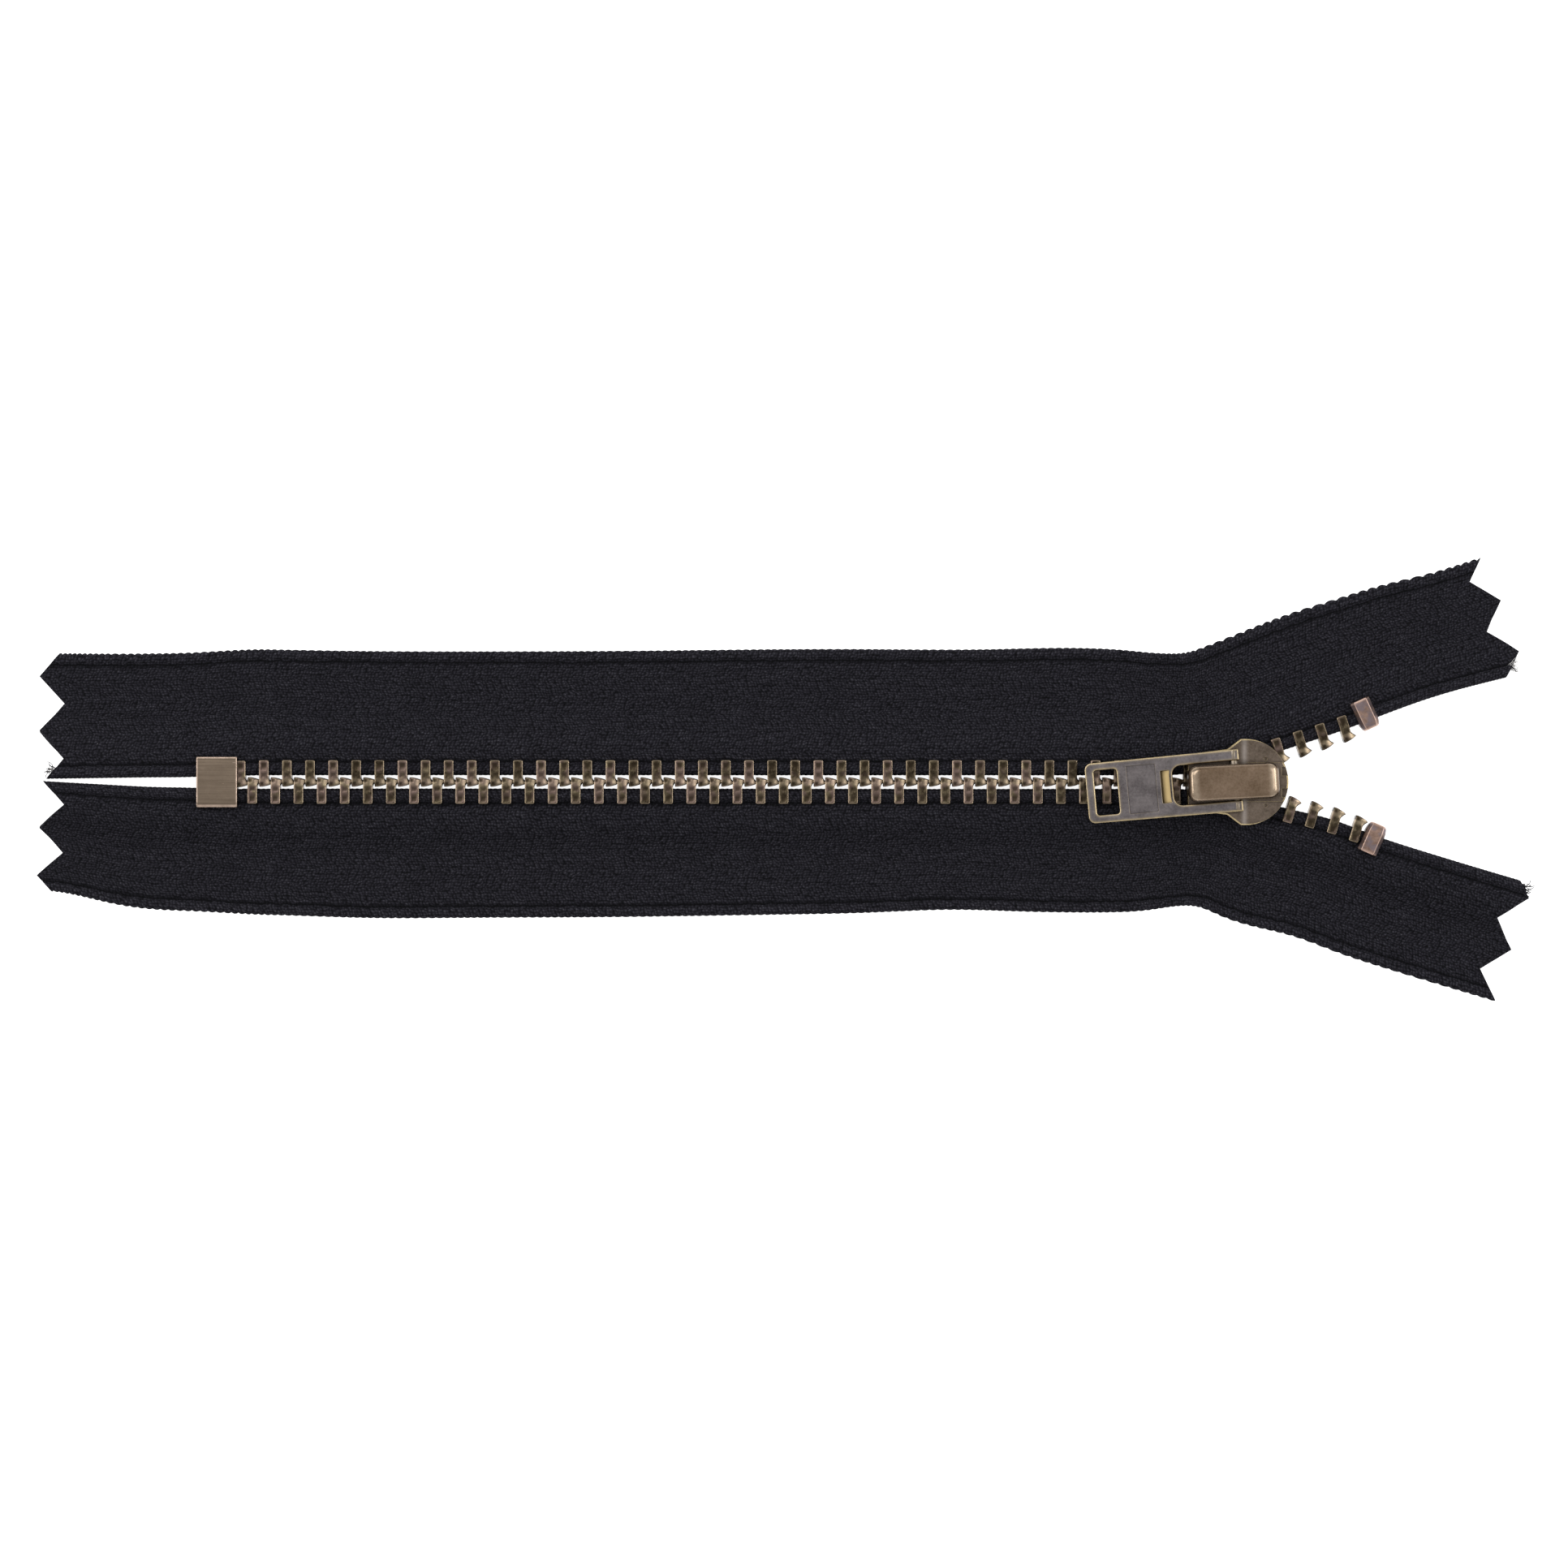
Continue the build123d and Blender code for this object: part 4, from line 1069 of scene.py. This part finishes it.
def tooth_place(side, number):
    """Turns a tooth's own points into their place on one side's bead."""
    s = origin_x + tooth_pitch * (number + (0 if side == "left" else 0.5))
    along, x_line, y_line = bead_lines[side]
    x, y = np.interp(s, along, x_line), np.interp(s, along, y_line)
    angle = heading(side, s)

    def put(points):
        u, w, z = points.T
        px = x + u * np.cos(angle) + w * np.sin(angle)
        py = y + u * np.sin(angle) - w * np.cos(angle)
        places = np.stack([px, chain_y + outwards[side] * py, chain_z + z], axis=-1)
        return places, side == "right"

    return put


def teeth_rows():
    """Each node of teeth gets one piece with as many teeth, on the same body."""
    for side in SIDES:
        number = 0
        names = [f"{side}_first_tooth"]
        names += sorted(name for name in frame["nodes"] if name.startswith(f"{side}_teeth_"))
        names.append(f"{side}_open_teeth")
        for name in names:
            shape = Shape()
            for _ in range(teeth_in(name)):
                tooth_shape(shape, tooth_place(side, number))
                number += 1
            obj = shape.build(name.replace("teeth", "row") + "_brass", metals["teeth"])
            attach(obj, frame["nodes"][name]["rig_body"])
            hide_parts(name)


def teeth_in(name):
    if name.endswith("first_tooth"):
        return 1
    if name.endswith("open_teeth"):
        return teeth_per_side - closed_teeth - 1
    group = int(name.rsplit("_", 1)[1])
    return min(teeth_per_group, closed_teeth - (group - 1) * teeth_per_group)


teeth_rows()


selvedge_wrap = 0.5 * MM  # radius that the weave is laid round on a selvedge
for side in SIDES:
    for upper in (False, True):
        part = "upper" if upper else "lower"
        sheet_piece = web(side, upper, f"{side}_{part}_tape_cloth", cloth)
        bead = tube(side, upper, f"{side}_{part}_bead", cloth, bead_section, bead_radius)
        edge = tube(side, upper, f"{side}_{part}_selvedge", cloth, selvedge_section, selvedge_wrap)
        for piece in (sheet_piece, bead, edge):
            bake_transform(piece)
        nodes = [f"{side}_arm_tape", f"{side}_side_tape"] if upper else [f"{side}_tail_tape"]
        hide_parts(*nodes)
        cords = [f"{side}_arm_cord", f"{side}_side_cord"] if upper else [f"{side}_tail_cord"]
        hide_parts(*cords)


def fray(name, side, upper, v, count, length, radius, material, seed):
    """Loose curling fibres at the cut end of one length of tape."""
    chance = np.random.default_rng(seed)
    cut = cut_end(side, upper) + pinked(side, upper, v)
    shape = Shape()
    share = np.linspace(0, 1, 9)
    for _ in range(count):
        reach = length * chance.uniform(0.5, 1.0)
        fan, lift = chance.uniform(-0.9, 0.9), chance.uniform(-0.5, 0.5)
        curl, phase = chance.uniform(2, 7), chance.uniform(0, 6.3)
        s = reach * (share * math.cos(fan) + 0.16 * np.sin(curl * share + phase)) - 0.3 * MM
        across = v + chance.uniform(-0.4, 0.4) * MM
        across = across + reach * (share * math.sin(fan) + 0.16 * np.cos(curl * share + phase))
        z = chain_z - 0.1 * MM + reach * lift * share + chance.uniform(-0.4, 0.4) * MM
        path = place(side, cut + (s if upper else -s), across, np.maximum(z, 0.1 * MM))
        ahead = np.gradient(path, axis=0)
        ahead /= np.linalg.norm(ahead, axis=1)[:, None]
        first = np.cross(ahead, (0.0, 0.0, 1.0))
        first /= np.linalg.norm(first, axis=1)[:, None]
        second = np.cross(ahead, first)
        spokes = (radius * first, radius * second)
        rings = [path + spoke for spoke in spokes] + [path - spoke for spoke in spokes]
        shape.rings(np.stack(rings, axis=1), closed_ends=True)
    obj = shape.build(name, material)
    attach(obj, f"{side}_arm" if upper else "root")


dark_thread = matte_nodes("loose_dark_thread", srgb(40, 39, 43)).owner
pale_thread = matte_nodes("loose_pale_thread", srgb(205, 203, 201)).owner
fray("left_tail_fray", "left", False, 0.15 * MM, 20, 1.4 * MM, 0.04 * MM, dark_thread, 3)
fray("left_tail_pale_fray", "left", False, 0.2 * MM, 7, 1.3 * MM, 0.022 * MM, pale_thread, 4)
fray("left_arm_fray", "left", True, 0.5 * MM, 18, 0.9 * MM, 0.045 * MM, dark_thread, 5)
fray("left_arm_pale_fray", "left", True, 0.5 * MM, 40, 1.6 * MM, 0.022 * MM, pale_thread, 6)
fray("right_arm_fray", "right", True, 0.0, 26, 1.5 * MM, 0.045 * MM, dark_thread, 7)


# ---- stage, light and camera
def stage_floor():
    half = 3.0
    mesh = bpy.data.meshes.new("floor")
    corners = [(-half, -half, 0), (half, -half, 0), (half, half, 0), (-half, half, 0)]
    mesh.from_pydata(corners, [], [(0, 1, 2, 3)])
    m = matte_nodes("white_floor", (0.8, 0.8, 0.8, 1), specular=0.1)
    glow = m.times(m.seen_directly(), 0.9)
    m.put(m.shader, {"Emission Color": (1, 1, 1, 1), "Emission Strength": glow})
    floor = add_object("floor", mesh, m.owner)
    floor.location.z = -0.05 * MM


def world_light():
    world = bpy.data.worlds.new("studio")
    bpy.context.scene.world = world
    m = Nodes(world, "Background")
    inputs = {"Value": m.seen_directly(), "To Min": 0.55, "To Max": 1.0}
    strength = m.add("MapRange", inputs).outputs["Result"]
    m.put(m.shader, {"Color": (1, 1, 1, 1), "Strength": strength})


def area_light(name, size, power, location):
    """Rectangular lamp that points at the middle of the floor."""
    data = bpy.data.lights.new(name, "AREA")
    data.shape = "RECTANGLE"
    data.size, data.size_y = size
    data.energy = power
    lamp = add_object(name, data)
    lamp.location = location
    direction = Vector((0, 0, 0)) - Vector(location)
    lamp.rotation_euler = direction.to_track_quat("-Z", "Y").to_euler()


def camera():
    view_width = 197.06 * MM
    data = bpy.data.cameras.new("camera")
    data.lens = 150
    data.sensor_width = 36
    data.clip_start, data.clip_end = 0.01, 10
    distance = view_width * data.lens / data.sensor_width
    obj = add_object("camera", data)
    obj.location = (0, chain_y - 0.25 * MM, chain_z + distance)
    bpy.context.scene.camera = obj


stage_floor()
world_light()
area_light("key", (0.5, 0.35), 1.9, (-0.3, 0.32, 0.62))
area_light("fill", (0.35, 0.5), 1.0, (0.5, 0.12, 0.5))
area_light("left_strip", (0.5, 0.12), 1.3, (-0.6, 0.1, 0.3))
area_light("right_strip", (0.5, 0.12), 1.3, (0.65, 0.1, 0.3))
camera()
bpy.context.scene.view_settings.view_transform = "Standard"
